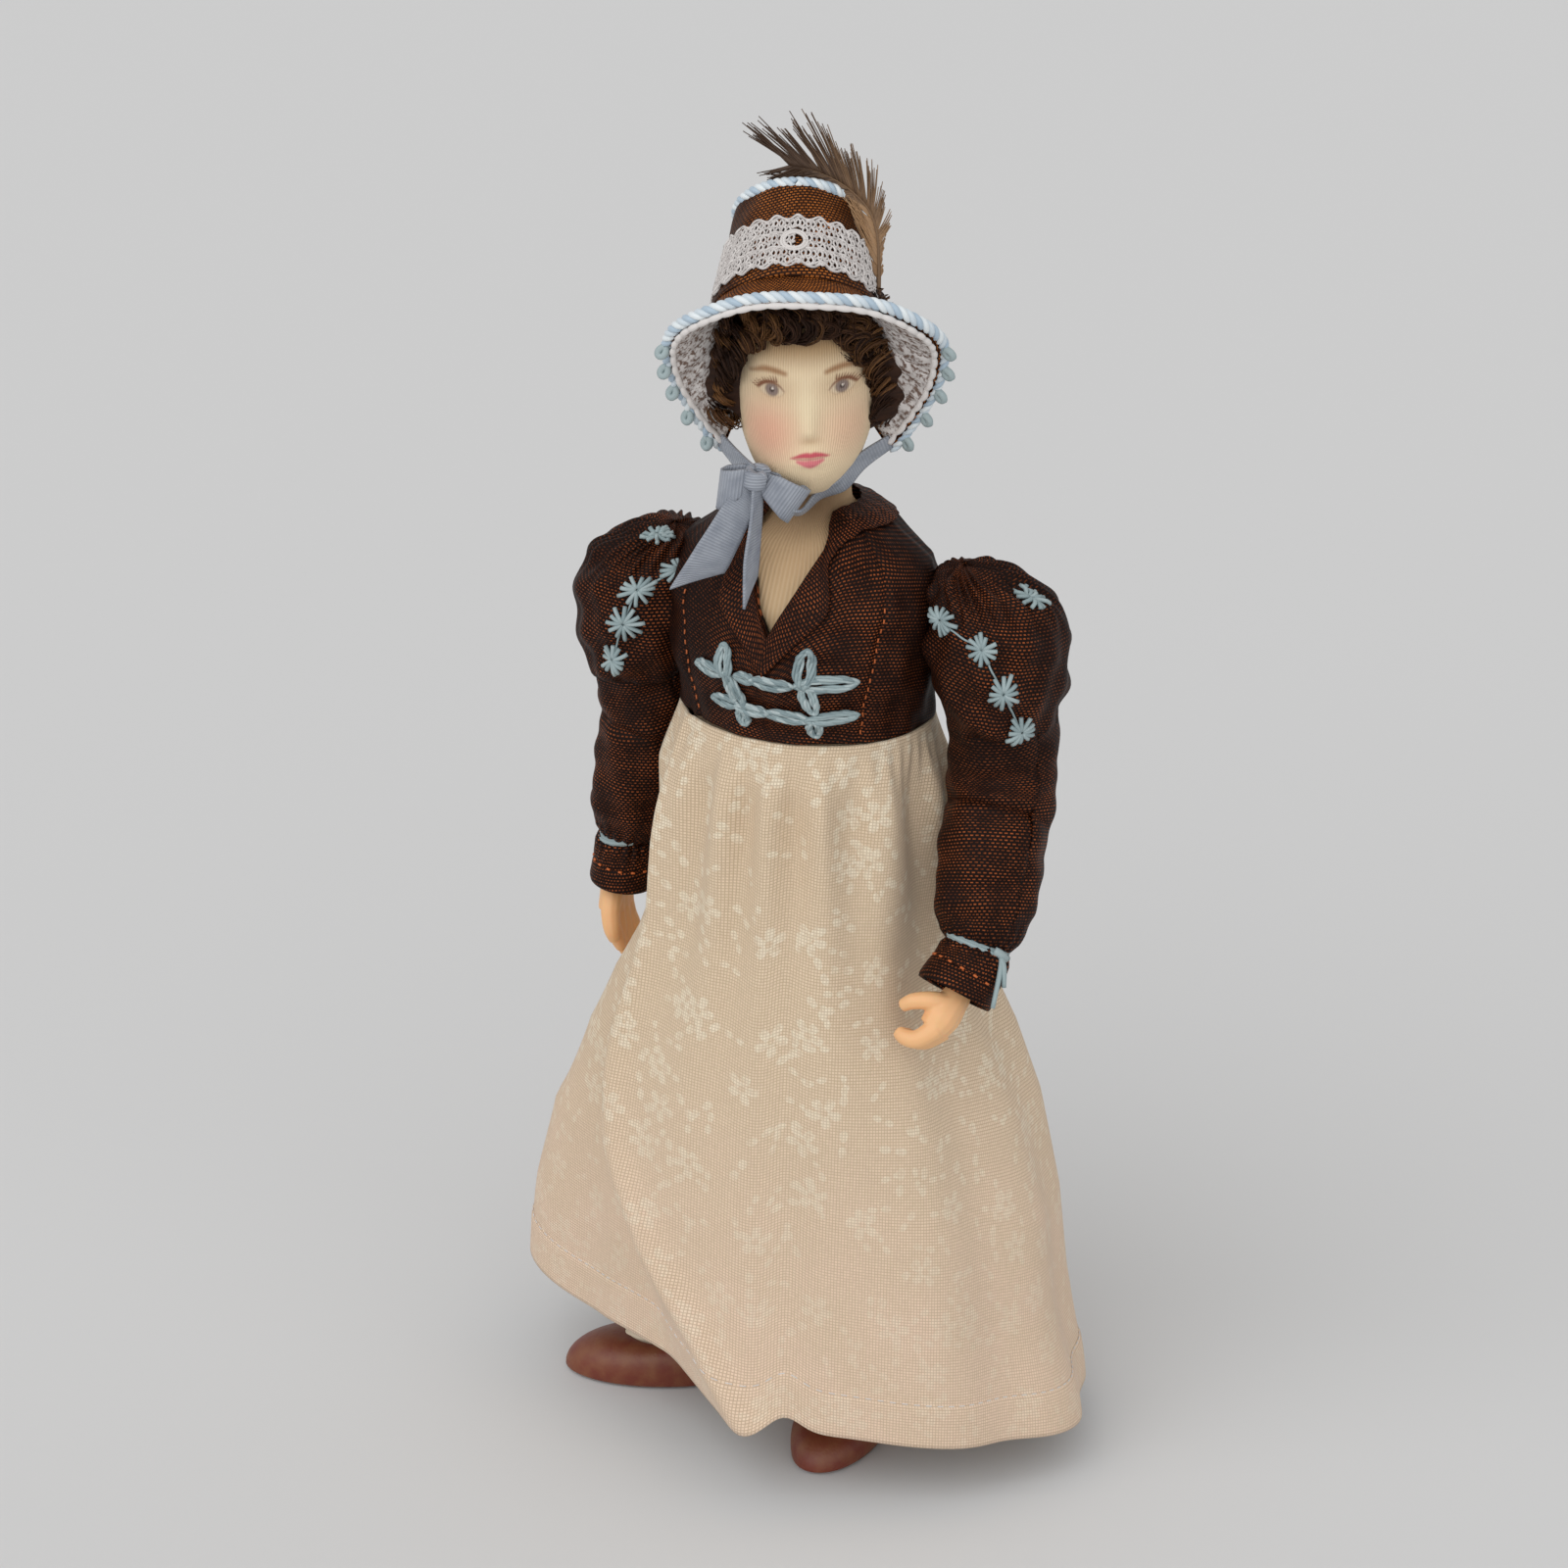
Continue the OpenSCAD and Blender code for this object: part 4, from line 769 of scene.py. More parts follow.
def skirt_surface(bearing, share, away=0.0):
    """The hanging skirt: gathers at the waist, the main fold, smaller folds and hollows beside the arms."""
    degrees = np.degrees(bearing)
    hem = hem_height(bearing)
    z = WAIST + (hem - WAIST) * share
    rx, ry = (np.interp(share, SKIRT[:, 0], SKIRT[:, i]) for i in (1, 2))
    grown = ease(0.03, 0.25, share)
    inward = np.zeros_like(degrees)
    for k in range(7):
        off = wrapped(degrees - 20 - 36 * k - 6 * share)
        inward += (0.7 if k == 0 else 1.4) * (0.3 + 0.7 * share) * grown * hump(off, 0, 10)
    off = degrees - np.interp(share, RIDGE[:, 0], RIDGE[:, 1])
    side = ease(0, -1, off / np.interp(share, *RIDGE_SIDE))
    inward += 4.8 * share ** 0.6 * grown * side * ease(-86, -50, degrees)
    inward -= (1.5 * share ** 0.5 + 0.7 * hump(share, 0.14, 0.1)) * hump(off, 1, 4.5)
    inward -= 2.2 * ease(0.66, 0.92, share) * hump(degrees, -100, 24)
    inward -= 2.2 * ease(0.82, 1, share) * hump(degrees, 84, 30)
    hollow = np.cos(np.clip(wrapped(degrees + 98) / 38, -1, 1) * math.pi) / 2 + 0.5
    inward += 3.8 * hollow * np.clip(1 - ((share - 0.41) / 0.31) ** 2, 0, 1)
    # The left arm has room to swing back
    inward += 3.0 * hump(degrees, 74, 23) * hump(share, 0.42, 0.26)
    gathers = (np.sin(14 * bearing + 1.4 * np.sin(3 * bearing) + 0.5) * np.exp(-share / 0.26)
               * ease(0.01, 0.12, share) * 1.6)
    gathers += (np.sin(43 * bearing + 2.1 * np.sin(5 * bearing)) * np.exp(-share / 0.05)
                * ease(0, 0.04, share) * 0.22)
    soft = ripple(degrees / 9, z / 6, ((1.0, 0.7, 0.2, 0.12), (0.45, -0.9, 1.7, 0.16), (2.2, 0.4, 0.5, 0.05)))
    soft = soft * ease(180, 160, np.abs(degrees))
    drop = (1 - share) * (WAIST - hem)
    band = 0.22 * ease(5.0, 4.6, drop) - 0.12 * hump(drop, 4.8, 0.22)
    out = away - inward + gathers + soft * grown + band
    return np.stack([(rx + out) * np.sin(bearing), -(ry + out) * np.cos(bearing), z], -1)


class DOLL_OT_skirt(bpy.types.Operator):
    """Gathered skirt of printed cotton with a stitched hem"""
    bl_idname = "doll.skirt"
    bl_label = "Skirt"

    def execute(self, context):
        def place(u, v):
            return skirt_surface(from_back(u), 1 - v)

        def flat_place(u, v):
            width = np.interp(1 - v, SKIRT[:, 0], SKIRT[:, 1] * 0.5 + SKIRT[:, 2] * 0.5)
            return from_back(u) * width * 1.12, 74 * v

        skirt = shaped_grid("skirt_cotton", 360, 150, place, flat_place, True, 0.4)
        mark(skirt, "hem_cast", HEM_CAST * ease(55, 12, points_of(skirt)[:, 2]))
        finish_piece(skirt, "printed cotton", "torso", "printed_cotton", "skirt")
        # Running stitches above the hem
        paths = []
        for bearing in np.radians(np.arange(-180, 180, 2.6)):
            b = bearing + np.linspace(0, 0.022, 4)
            drop = WAIST - hem_height(b)
            paths.append(skirt_surface(b, 1 - 4.8 / drop, 0.12))
        stitches = strands("hem_stitches", paths, 0.06, 5, 1.0)
        finish_piece(stitches, "lace thread", "torso", "printed_cotton")
        return {"FINISHED"}


# Arms

PUFF_HALF = np.array([6.2, 7.7, 9.89])
# The puff reaches further in, to the armhole; the right arm hangs closer to the body
PUFF_INWARD = 1.9
ARM_IN = {"left": -0.1, "right": 1.9}
PUFF_TOP = 97.3
PUFF_GATHER = math.radians(-52)
# Stars of each puff: bearing from the front outward and height, in degrees; the last stands apart
STARS = {"left": ((-35, 30), (3, 19), (23, -5), (41, -34), (80, 45)),
         "right": ((-50, 38), (-21, 26), (-12, 5), (-1, -20), (10, 72))}
# Cuffs along the forearm from the elbow: the tie, the end, and the shifts of the end and of the tie
CUFF_TIE = {"left": 15.6, "right": 12.6}
CUFF_END = {"left": 20.5, "right": 17.9}
CUFF_IN = 1.5
CUFF_AHEAD = {"left": 0.6, "right": 0.2}
TIE_IN = {"left": 0.0, "right": 1.3}
# Share of the full width that each lower sleeve has
ARM_WIDTH = {"left": 1.0, "right": 0.87}


def arm_points(side, points):
    """Points of a hanging arm, swung as the arm is at rest: from the shoulder to the elbow."""
    shoulder, elbow = joint_place("shoulder_" + side), joint_place("elbow_" + side)
    swing = math.atan2(elbow[1] - shoulder[1], shoulder[2] - elbow[2])
    p = np.asarray(points, float) - shoulder
    c, s = math.cos(swing), math.sin(swing)
    return np.stack([p[..., 0], c * p[..., 1] - s * p[..., 2], s * p[..., 1] + c * p[..., 2]], -1) + shoulder


def forearm_points(side, points):
    """Points given as outward, forward and down from the elbow, laid along the forearm."""
    elbow, wrist = joint_place("elbow_" + side), joint_place("wrist_" + side)
    down = unit(wrist - elbow)
    out = unit(np.array([SIDES[side], 0, 0]) - SIDES[side] * down[0] * down)
    ahead = np.cross(down, out) * SIDES[side]
    ahead = ahead * (1 if ahead[1] < 0 else -1)
    p = np.asarray(points, float)
    return elbow + p[..., :1] * out + p[..., 1:2] * ahead + p[..., 2:3] * down


def puff_surface(side, bearing, height, away=0.0):
    """The puffed sleeve: bearing grows outward from the front, height is an angle from its middle."""
    s = SIDES[side]
    middle = joint_place("shoulder_" + side).copy()
    middle[2] = PUFF_TOP - PUFF_HALF[2]
    ends = ease(0.35, 1.25, np.abs(height + 0.15))
    pleats = 0.45 * np.sin(22 * bearing + 1.7 * np.sin(4 * bearing)) * ends
    pleats = pleats * (1 - 0.75 * ease(1.1, 1.45, height))
    waves = ((0.9, 1.3, 0.5, 0.20), (1.9, -0.8, 1.1, 0.12), (0.4, 1.6, 2.0, 0.20))
    creases = ripple(bearing * 6, height * 8, waves)
    out = away + pleats + creases
    under = ease(math.radians(-42), PUFF_GATHER, height)
    flat = np.cos(height) ** np.where(height < 0, 0.6, 1.0) * (1 - 0.38 * under)
    half = PUFF_HALF[0] + PUFF_INWARD * ease(0.2, -0.5, np.sin(bearing)) * ease(-0.7, 0.3, height)
    lean = ease(0.3, 1.5, height)
    x = s * ((half + out) * flat * np.sin(bearing) - ARM_IN[side] - 4.2 * lean)
    y = -(PUFF_HALF[1] + out) * flat * np.cos(bearing)
    z = (PUFF_HALF[2] + 0.5 * out) * np.sin(height) - 1.1 * lean
    return arm_points(side, middle + np.stack(np.broadcast_arrays(x, y, z), -1))


class DOLL_OT_sleeves(bpy.types.Operator):
    """Puffed sleeves, long sleeves with gathered cuffs, star stitches and cuff ties"""
    bl_idname = "doll.sleeves"
    bl_label = "Sleeves"

    def execute(self, context):
        for side in SIDES:
            self.puff(side)
            self.sleeve(side)
            self.stars(side)
            self.tie(side)
        return {"FINISHED"}

    def puff(self, side):
        s = SIDES[side]

        def place(u, v):
            height = PUFF_GATHER + (math.pi / 2 - 0.02 - PUFF_GATHER) * v
            return puff_surface(side, s * from_back(u), height)

        def flat_place(u, v):
            return TAU * 6.6 * (u - 0.5), 21 * v

        # Painted shade: darker at the gathered lower edge and where the puff turns to the sides
        def painted_shade(u, v):
            aside = np.abs(np.sin(from_back(u) - 0.35))
            return np.maximum(0.85 * ease(0.16, 0.02, v), 0.6 * ease(0.5, 1, aside))

        puff = shaped_grid("puff_" + side, 160, 64, place, flat_place, True, 0.4, painted_shade)
        face_out(puff, True)
        finish_piece(puff, "shot silk", "upper_arm_" + side, "shot_silk",
                     "puff_sleeve_" + side, "upper_arm_stuffing_" + side)

    def sleeve(self, side):
        elbow = joint_place("elbow_" + side)
        shoulder = joint_place("shoulder_" + side)
        inward = np.array([-SIDES[side] * ARM_IN[side], 0, 0])
        top = arm_points(side, np.array([shoulder[0], shoulder[1], 82.0])) + inward
        drawn = TIE_IN[side]
        ends = forearm_points(side, [[-0.5 * drawn, 0, 7], [-drawn, 0, CUFF_TIE[side]],
                                     [-CUFF_IN, CUFF_AHEAD[side], CUFF_END[side]]])
        ends[0] += 0.5 * inward
        arm_r = ARM_WIDTH[side]
        path = curve_points([top, elbow + unit(top - elbow) + 0.85 * inward, *ends], 150)
        steps = np.concatenate([[0], np.cumsum(np.linalg.norm(np.diff(path, axis=0), axis=1))])
        along = steps / steps[-1]
        whole = steps[-1]
        _, across, up = frames_along(path)

        def place(u, v, above=0.0):
            i = 1 - v
            centre, a, b = read_at(i, along, path, across, up)
            left = whole * (1 - i)
            radius = arm_r * np.interp(left, [0, 0.25, 4.2, 5.2, 6.2, 9, 14, 22, 30],
                                       [3.65, 3.75, 3.2, 2.6, 3.5, 4.6, 5.0, 5.0, 5.0])
            turn = TAU * u
            waves = ((0.7, 0.9, 0.4, 0.12), (1.6, -0.5, 1.3, 0.10), (0.3, 1.9, 2.2, 0.08))
            bend = 0.55 * hump(left, 18.5 + 0.8 * np.sin(turn), 0.7) * ease(-0.2, 0.6, np.sin(turn + 0.6))
            creases = ripple(turn * 4, left, waves) * ease(5.8, 8, left) - bend
            gathers = 0.16 * np.sin(19 * turn + np.sin(3 * turn)) * hump(left, 5.2, 2.0)
            stitch = -0.14 * hump(left, 2.2, 0.25)
            r = above + radius + creases + gathers + stitch + 0.12 * np.sin(2 * turn + left * 0.4)
            return centre + (np.cos(turn) * r)[:, None] * a + (np.sin(turn) * r)[:, None] * b

        def flat_place(u, v):
            return TAU * 4.6 * u, whole * v

        # Painted shade: darker at the top, under the puff, and in the gathers at the tie
        def painted_shade(u, v):
            return 0.45 * ease(20, 26, whole * v) + 0.4 * hump(whole * v, 6.2, 0.8)

        sleeve = shaped_grid("sleeve_" + side, 90, 150, place, flat_place, True, 0.35, painted_shade)
        face_out(sleeve)
        sleeve.data.materials.append(materials()["shot silk"])
        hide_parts("upper_sleeve_" + side, "lower_sleeve_" + side, "forearm_stuffing_" + side)
        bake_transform(sleeve)
        # Small orange stitches round the cuff
        paths = []
        for turn in np.arange(0, 1, 1 / 16):
            t = turn + np.linspace(0, 0.018, 4)
            paths.append(place(t, np.full(4, 2.2 / whole), 0.42))
        stitches = strands("cuff_stitches_" + side, paths, 0.13, 6, 0.9)
        finish_piece(stitches, "seam thread", "forearm_" + side, "shot_silk")

    def stars(self, side):
        paths, radii, tones = [], [], []
        random = np.random.default_rng(RANDOM_SEED + SIDES[side])
        for bearing, height in STARS[side]:
            b, h = math.radians(bearing), math.radians(height)
            rays = 12
            for k in range(rays):
                way = TAU * k / rays + random.uniform(-0.1, 0.1)
                reach = np.linspace(0.15, random.uniform(1.35, 1.95), 6)
                db = reach * math.cos(way) / (PUFF_HALF[1] * math.cos(h))
                dh = reach * math.sin(way) / PUFF_HALF[2]
                lift = 0.2 + 0.14 * np.sin(np.linspace(0.3, math.pi, 6))
                paths.append(puff_surface(side, b + db, h + dh, lift))
                radii.append(0.23)
                tones.append(random.uniform(0.3, 0.62))
        # A thread runs from star to star under the cloth and over it
        line = np.radians(np.array(STARS[side][:4]))
        t = np.linspace(0, 3, 60)
        over = [np.interp(t, np.arange(4), line[:, i]) for i in (0, 1)]
        paths.append(puff_surface(side, over[0], over[1], 0.12 + 0.1 * np.sin(t * 14)))
        radii.append(0.11)
        tones.append(0.4)
        stars = strands("stars_" + side, paths, radii, 6, tones)
        finish_piece(stars, "embroidery floss", "upper_arm_" + side, "satin_cord",
                     "star_stitches_" + side)

    def tie(self, side):
        turn = np.linspace(0, TAU * 0.995, 60)
        paths, tones = [], []
        at = CUFF_TIE[side]

        def placed(points):
            return forearm_points(side, np.asarray(points, float) - [TIE_IN[side], 0, 0])

        for k in range(3):
            r = ARM_WIDTH[side] * (3.0 + 0.12 * (k == 1))
            lower = 0.28 * (k - 1) + 0.15 * np.sin(turn + k) + 0.25 * r * np.cos(turn)
            paths.append(placed(np.stack([r * np.cos(turn), r * np.sin(turn), at + lower], -1)))
            tones.append(0.35 + 0.12 * k)
        radii = [0.27] * 3
        if side == "left":
            # The left tie has a knot at the front and two tails
            for end in ([3.7, 1.3, at + 3.8], [3.1, 2.0, at + 6.0]):
                middle = [0.5 * (2.8 + end[0]) + 0.3, 1.8, at + 1.9]
                paths.append(curve_points(placed([[2.8, 1.4, at + 0.7], middle, end]), 10))
                radii.append(np.linspace(0.34, 0.24, 10))
                tones.append(0.5)
            knot = [[2.4, 2.1, at + 0.4], [3.0, 1.6, at + 0.7], [3.2, 0.8, at + 1.0]]
            paths.append(curve_points(placed(knot), 8))
            radii.append(0.5)
            tones.append(0.55)
        tie = strands("cuff_tie_" + side + "_floss", paths, radii, 7, tones)
        finish_piece(tie, "embroidery floss", "forearm_" + side, "satin_cord",
                     "cuff_tie_" + side)


# Hands and legs

def remeshed(name, paths, radii, cell, rounds, sides=10):
    """Rounded limbs melted into one smooth closed form, as clay or a stuffed foot is."""
    piece = strands(name, paths, radii, sides)
    modify(piece, "REMESH", mode="VOXEL", voxel_size=cell * MM, use_smooth_shade=True)
    modify(piece, "SMOOTH", factor=0.5, iterations=rounds)
    return piece


class DOLL_OT_hands(bpy.types.Operator):
    """Modelled hands with a thumb and four fingers"""
    bl_idname = "doll.hands"
    bl_label = "Hands"

    def execute(self, context):
        for side in SIDES:
            wrist = np.linalg.norm(joint_place("wrist_" + side) - joint_place("elbow_" + side))
            paths, radii = [], []
            outward, full = (0.0, 1.0) if side == "left" else (0.4, 1.15)

            def limb(points, sizes_along):
                count = 14
                local = curve_points([[-p[0] + outward, p[1] * full, wrist + p[2]] for p in points], count)
                paths.append(forearm_points(side, local))
                steps = np.linspace(0, 1, len(sizes_along))
                radii.append(np.interp(np.linspace(0, 1, count), steps, sizes_along) * full)

            # Each point is towards the body, forward and below the wrist
            if side == "left":
                # This hand turns inward, with the thumb above the closed fingers
                for y in (-0.5, 0.5):
                    limb([[0.3, 0.4 * y, -1.0], [1.0, 0.8 * y + 0.6, 2.0], [2.0, y + 1.3, 4.5],
                          [2.7, y + 1.5, 5.9]], [0.75, 1.3, 1.75, 1.5])
                for k in range(4):
                    y = 1.9 - 0.8 * k
                    limb([[2.2, y + 0.5, 5.9], [3.8, y + 0.9, 7.2], [5.1, y + 0.9, 7.2], [6.0, y + 0.7, 6.7]],
                         [1.1, 0.95, 0.85, 0.65])
                limb([[1.5, 1.9, 3.2], [3.0, 2.9, 3.3], [4.7, 3.1, 3.6], [5.9, 2.8, 4.2]],
                     [0.95, 0.95, 0.85, 0.65])
            else:
                for k in range(3):
                    limb([[0.9, 0.3 * (k - 1), -3.5], [1.1, 0.65 * (k - 1), -0.3], [1.4, 1.1 * (k - 1), 2.9]],
                         [0.8, 1.15, 1.2])
                for k in range(4):
                    y = 1.45 - 0.97 * k
                    reach = (7.2, 8.0, 7.8, 6.7)[k]
                    limb([[1.4, y * 0.95, 2.2], [1.9 + 0.1 * k, y, 4.4],
                          [2.6 + 0.15 * k, y * 0.9, reach - 1.2], [3.1 + 0.15 * k, y * 0.75, reach]],
                         [0.88, 0.78, 0.68, 0.45])
                limb([[1.4, 1.2, 0.6], [1.9, 2.4, 2.2], [2.5, 2.9, 3.9], [2.9, 2.7, 5.3]],
                     [1.05, 0.9, 0.78, 0.5])
            hand = remeshed("hand_" + side + "_clay", paths, radii, 0.14, 5)
            finish_piece(hand, "modelling clay", "hand_" + side, "clay", "hand_" + side)
        return {"FINISHED"}


class DOLL_OT_legs(bpy.types.Operator):
    """Stockinged legs and low leather slippers"""
    bl_idname = "doll.legs"
    bl_label = "Legs and slippers"

    def execute(self, context):
        for side in SIDES:
            self.leg(side)
            self.slipper(side)
        return {"FINISHED"}

    def toes(self, side):
        """The ankle's place on the floor, and the way to the toes."""
        box_low, box_high = (np.array(c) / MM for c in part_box("slipper_" + side))
        knee = joint_place("knee_" + side)
        hip = joint_place("hip_" + side)
        ankle = knee + (knee - hip) * (knee[2] - 4.2) / (hip[2] - knee[2])
        ankle[2] = 0
        middle = (box_low + box_high) / 2 - ankle
        way = middle * [1, 1, 0]
        return ankle, way / np.linalg.norm(way)

    def leg(self, side):
        hip, knee = joint_place("hip_" + side), joint_place("knee_" + side)
        ankle, way = self.toes(side)
        low = np.array([ankle[0], ankle[1], 5.0])
        line = [hip + (hip - knee) * 0.13, (hip + knee) / 2, knee, (knee * 0.6 + low * 0.4), low]
        count = 60
        path = curve_points(line, count)
        steps = np.arange(count)
        radius = np.interp(np.linspace(0, 1, count), [0, 0.25, 0.5, 0.62, 0.9, 1],
                           [4.3, 4.6, 3.8, 3.9, 2.6, 2.4])
        _, across, up = frames_along(path)

        def place(u, v):
            i = (1 - v) * (count - 1)
            r = np.interp(i, steps, radius)
            centre, a, b = read_at(i, steps, path, across, up)
            return centre + (np.cos(TAU * u) * r)[:, None] * a + (np.sin(TAU * u) * r)[:, None] * b

        leg = shaped_grid("leg_" + side, 36, count, place, lambda u, v: (26 * u, 60 * v))
        face_out(leg, True)
        leg.data.materials.append(materials()["stocking knit"])
        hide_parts("thigh_stuffing_" + side, "shin_stocking_" + side)
        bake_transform(leg)
        # The instep fills the slipper
        sole = [ankle + way * d + [0, 0, h] for d, h in ((-1.2, 5.6), (2.0, 4.7), (6.5, 3.5), (10.0, 1.9))]
        foot = remeshed("foot_" + side, [curve_points(sole, 16)], [np.linspace(2.7, 1.5, 16)], 0.3, 4)
        finish_piece(foot, "stocking knit", "shin_" + side, "stocking")

    def slipper(self, side):
        ankle, way = self.toes(side)
        over = np.array([-way[1], way[0], 0])
        heel, toe, half = -3.9, 15.0, 4.0

        def outline(turn, back, front, width, narrow):
            """An oval from the heel to the toe, narrower at the heel and pointed at the toe."""
            along = (back + front) / 2 - np.cos(turn) * (front - back) / 2
            share = (along - back) / (front - back)
            side_way = np.sin(turn) * width * (0.86 + 0.30 * share - narrow * share ** 3)
            return along, side_way

        def place(u, v):
            turn = TAU * u
            low_along, low_side = outline(turn, heel, toe, half, 0.14)
            top_along, top_side = outline(turn, heel + 0.6, 8.6, half - 1.1, 0.10)
            up = np.sin(v * math.pi / 2)
            inward = 1 - np.cos(v * math.pi / 2)
            along = low_along + (top_along - low_along) * inward
            aside = low_side + (top_side - low_side) * inward
            bulge = 0.35 * np.sin(math.pi * np.clip(v * 1.3, 0, 1))
            tall = 4.4 - 0.8 * ease(0, 6, top_along)
            aside = aside + np.sign(low_side) * bulge * np.abs(np.sin(turn))
            return (ankle + along[:, None] * way + aside[:, None] * over
                    + (0.15 + tall * up)[:, None] * [0, 0, 1])

        upper = shaped_grid("slipper_upper_" + side, 72, 18, place, lambda u, v: (40 * u, 7 * v), True, 0.45)
        face_out(upper)
        modify(upper, "BEVEL", width=0.12 * MM, segments=2, limit_method="ANGLE")
        finish_piece(upper, "slipper leather", "shin_" + side, "slipper_leather",
                     "slipper_" + side)

        def under(u, v):
            along, aside = outline(TAU * u, heel, toe, half, 0.14)
            middle = (heel + toe) / 2
            reach = np.minimum(v * 1.25, 1.0)
            high = np.where(v > 0.81, (v - 0.8) * 2.0, 0.0)
            return (ankle + (middle + (along - middle) * reach)[:, None] * way
                    + (aside * reach)[:, None] * over + high[:, None] * [0, 0, 1])

        sole = shaped_grid("slipper_sole_" + side, 72, 10, under, lambda u, v: (40 * u, 9 * v))
        modify(sole, "SOLIDIFY", thickness=0.2 * MM, offset=1)
        face_out(sole)
        finish_piece(sole, "slipper leather", "shin_" + side, "slipper_leather")


# Head

# Height, half width and half depth of the head, from the chin to the crown
HEAD = np.array([[102.3, 0, 0], [102.6, 1.6, 2.0], [103.4, 3.1, 3.9], [104.6, 4.35, 5.3],
                 [106.6, 5.5, 6.7], [109.3, 6.45, 7.5], [112.1, 6.85, 7.8], [114.6, 6.9, 8.0],
                 [118, 6.6, 7.9], [121.5, 5.7, 6.9], [124, 4.0, 5.0], [125.2, 2.3, 2.9], [125.6, 0, 0]])
HEAD_MIDDLE = 0.5
FACE_MIDDLE = np.array([0.25, 114.5])
FACE_LEAN = math.radians(3)
EYE_APART = 3.35
# The bare face: half angle round the head, then middle height and half height
FACE_HALF_ANGLE = 1.32
FACE_WINDOW = (111.2, 10.2)
HAIR_LOW = 108.6


def head_point(bearing, z, away=0.0):
    """A point on the head before it is turned; the lower face comes forward a little."""
    rows = curve_points(HEAD, 400)
    rx, ry = (np.interp(z, rows[:, 0], np.maximum(rows[:, i], 0)) for i in (1, 2))
    mid = HEAD_MIDDLE - 2.2 * ease(112, 103.5, z)
    x, y = (rx + away) * np.sin(bearing), mid - (ry + away) * np.cos(bearing)
    return np.stack(np.broadcast_arrays(x, y, z), -1)


def face_place(points):
    """Places on the face in mm from between the eyes: across and up, along the face's own lean."""
    x, z = points[..., 0] - FACE_MIDDLE[0], points[..., 2] - FACE_MIDDLE[1]
    c, s = math.cos(FACE_LEAN), math.sin(FACE_LEAN)
    return x * c + z * s, -x * s + z * c


def soft_disc(x, y, cx, cy, rx, ry, edge):
    """1 inside an oval, fading over edge, which is a share of its size."""
    r = np.sqrt(((x - cx) / rx) ** 2 + ((y - cy) / ry) ** 2)
    return 1 - ease(1 - edge, 1 + edge, r)


def stroke(x, y, points, widths, edge=0.05):
    """1 along a brush stroke through a few points with changing width."""
    path = curve_points([(*p, 0) for p in points], 40)[:, :2]
    width = np.interp(np.linspace(0, 1, 40), np.linspace(0, 1, len(widths)), widths)
    best = np.zeros_like(x)
    for (px, py), w in zip(path, width):
        near = np.hypot(x - px, y - py)
        best = np.maximum(best, 1 - ease(w / 2 - edge, w / 2 + edge, near))
    return best


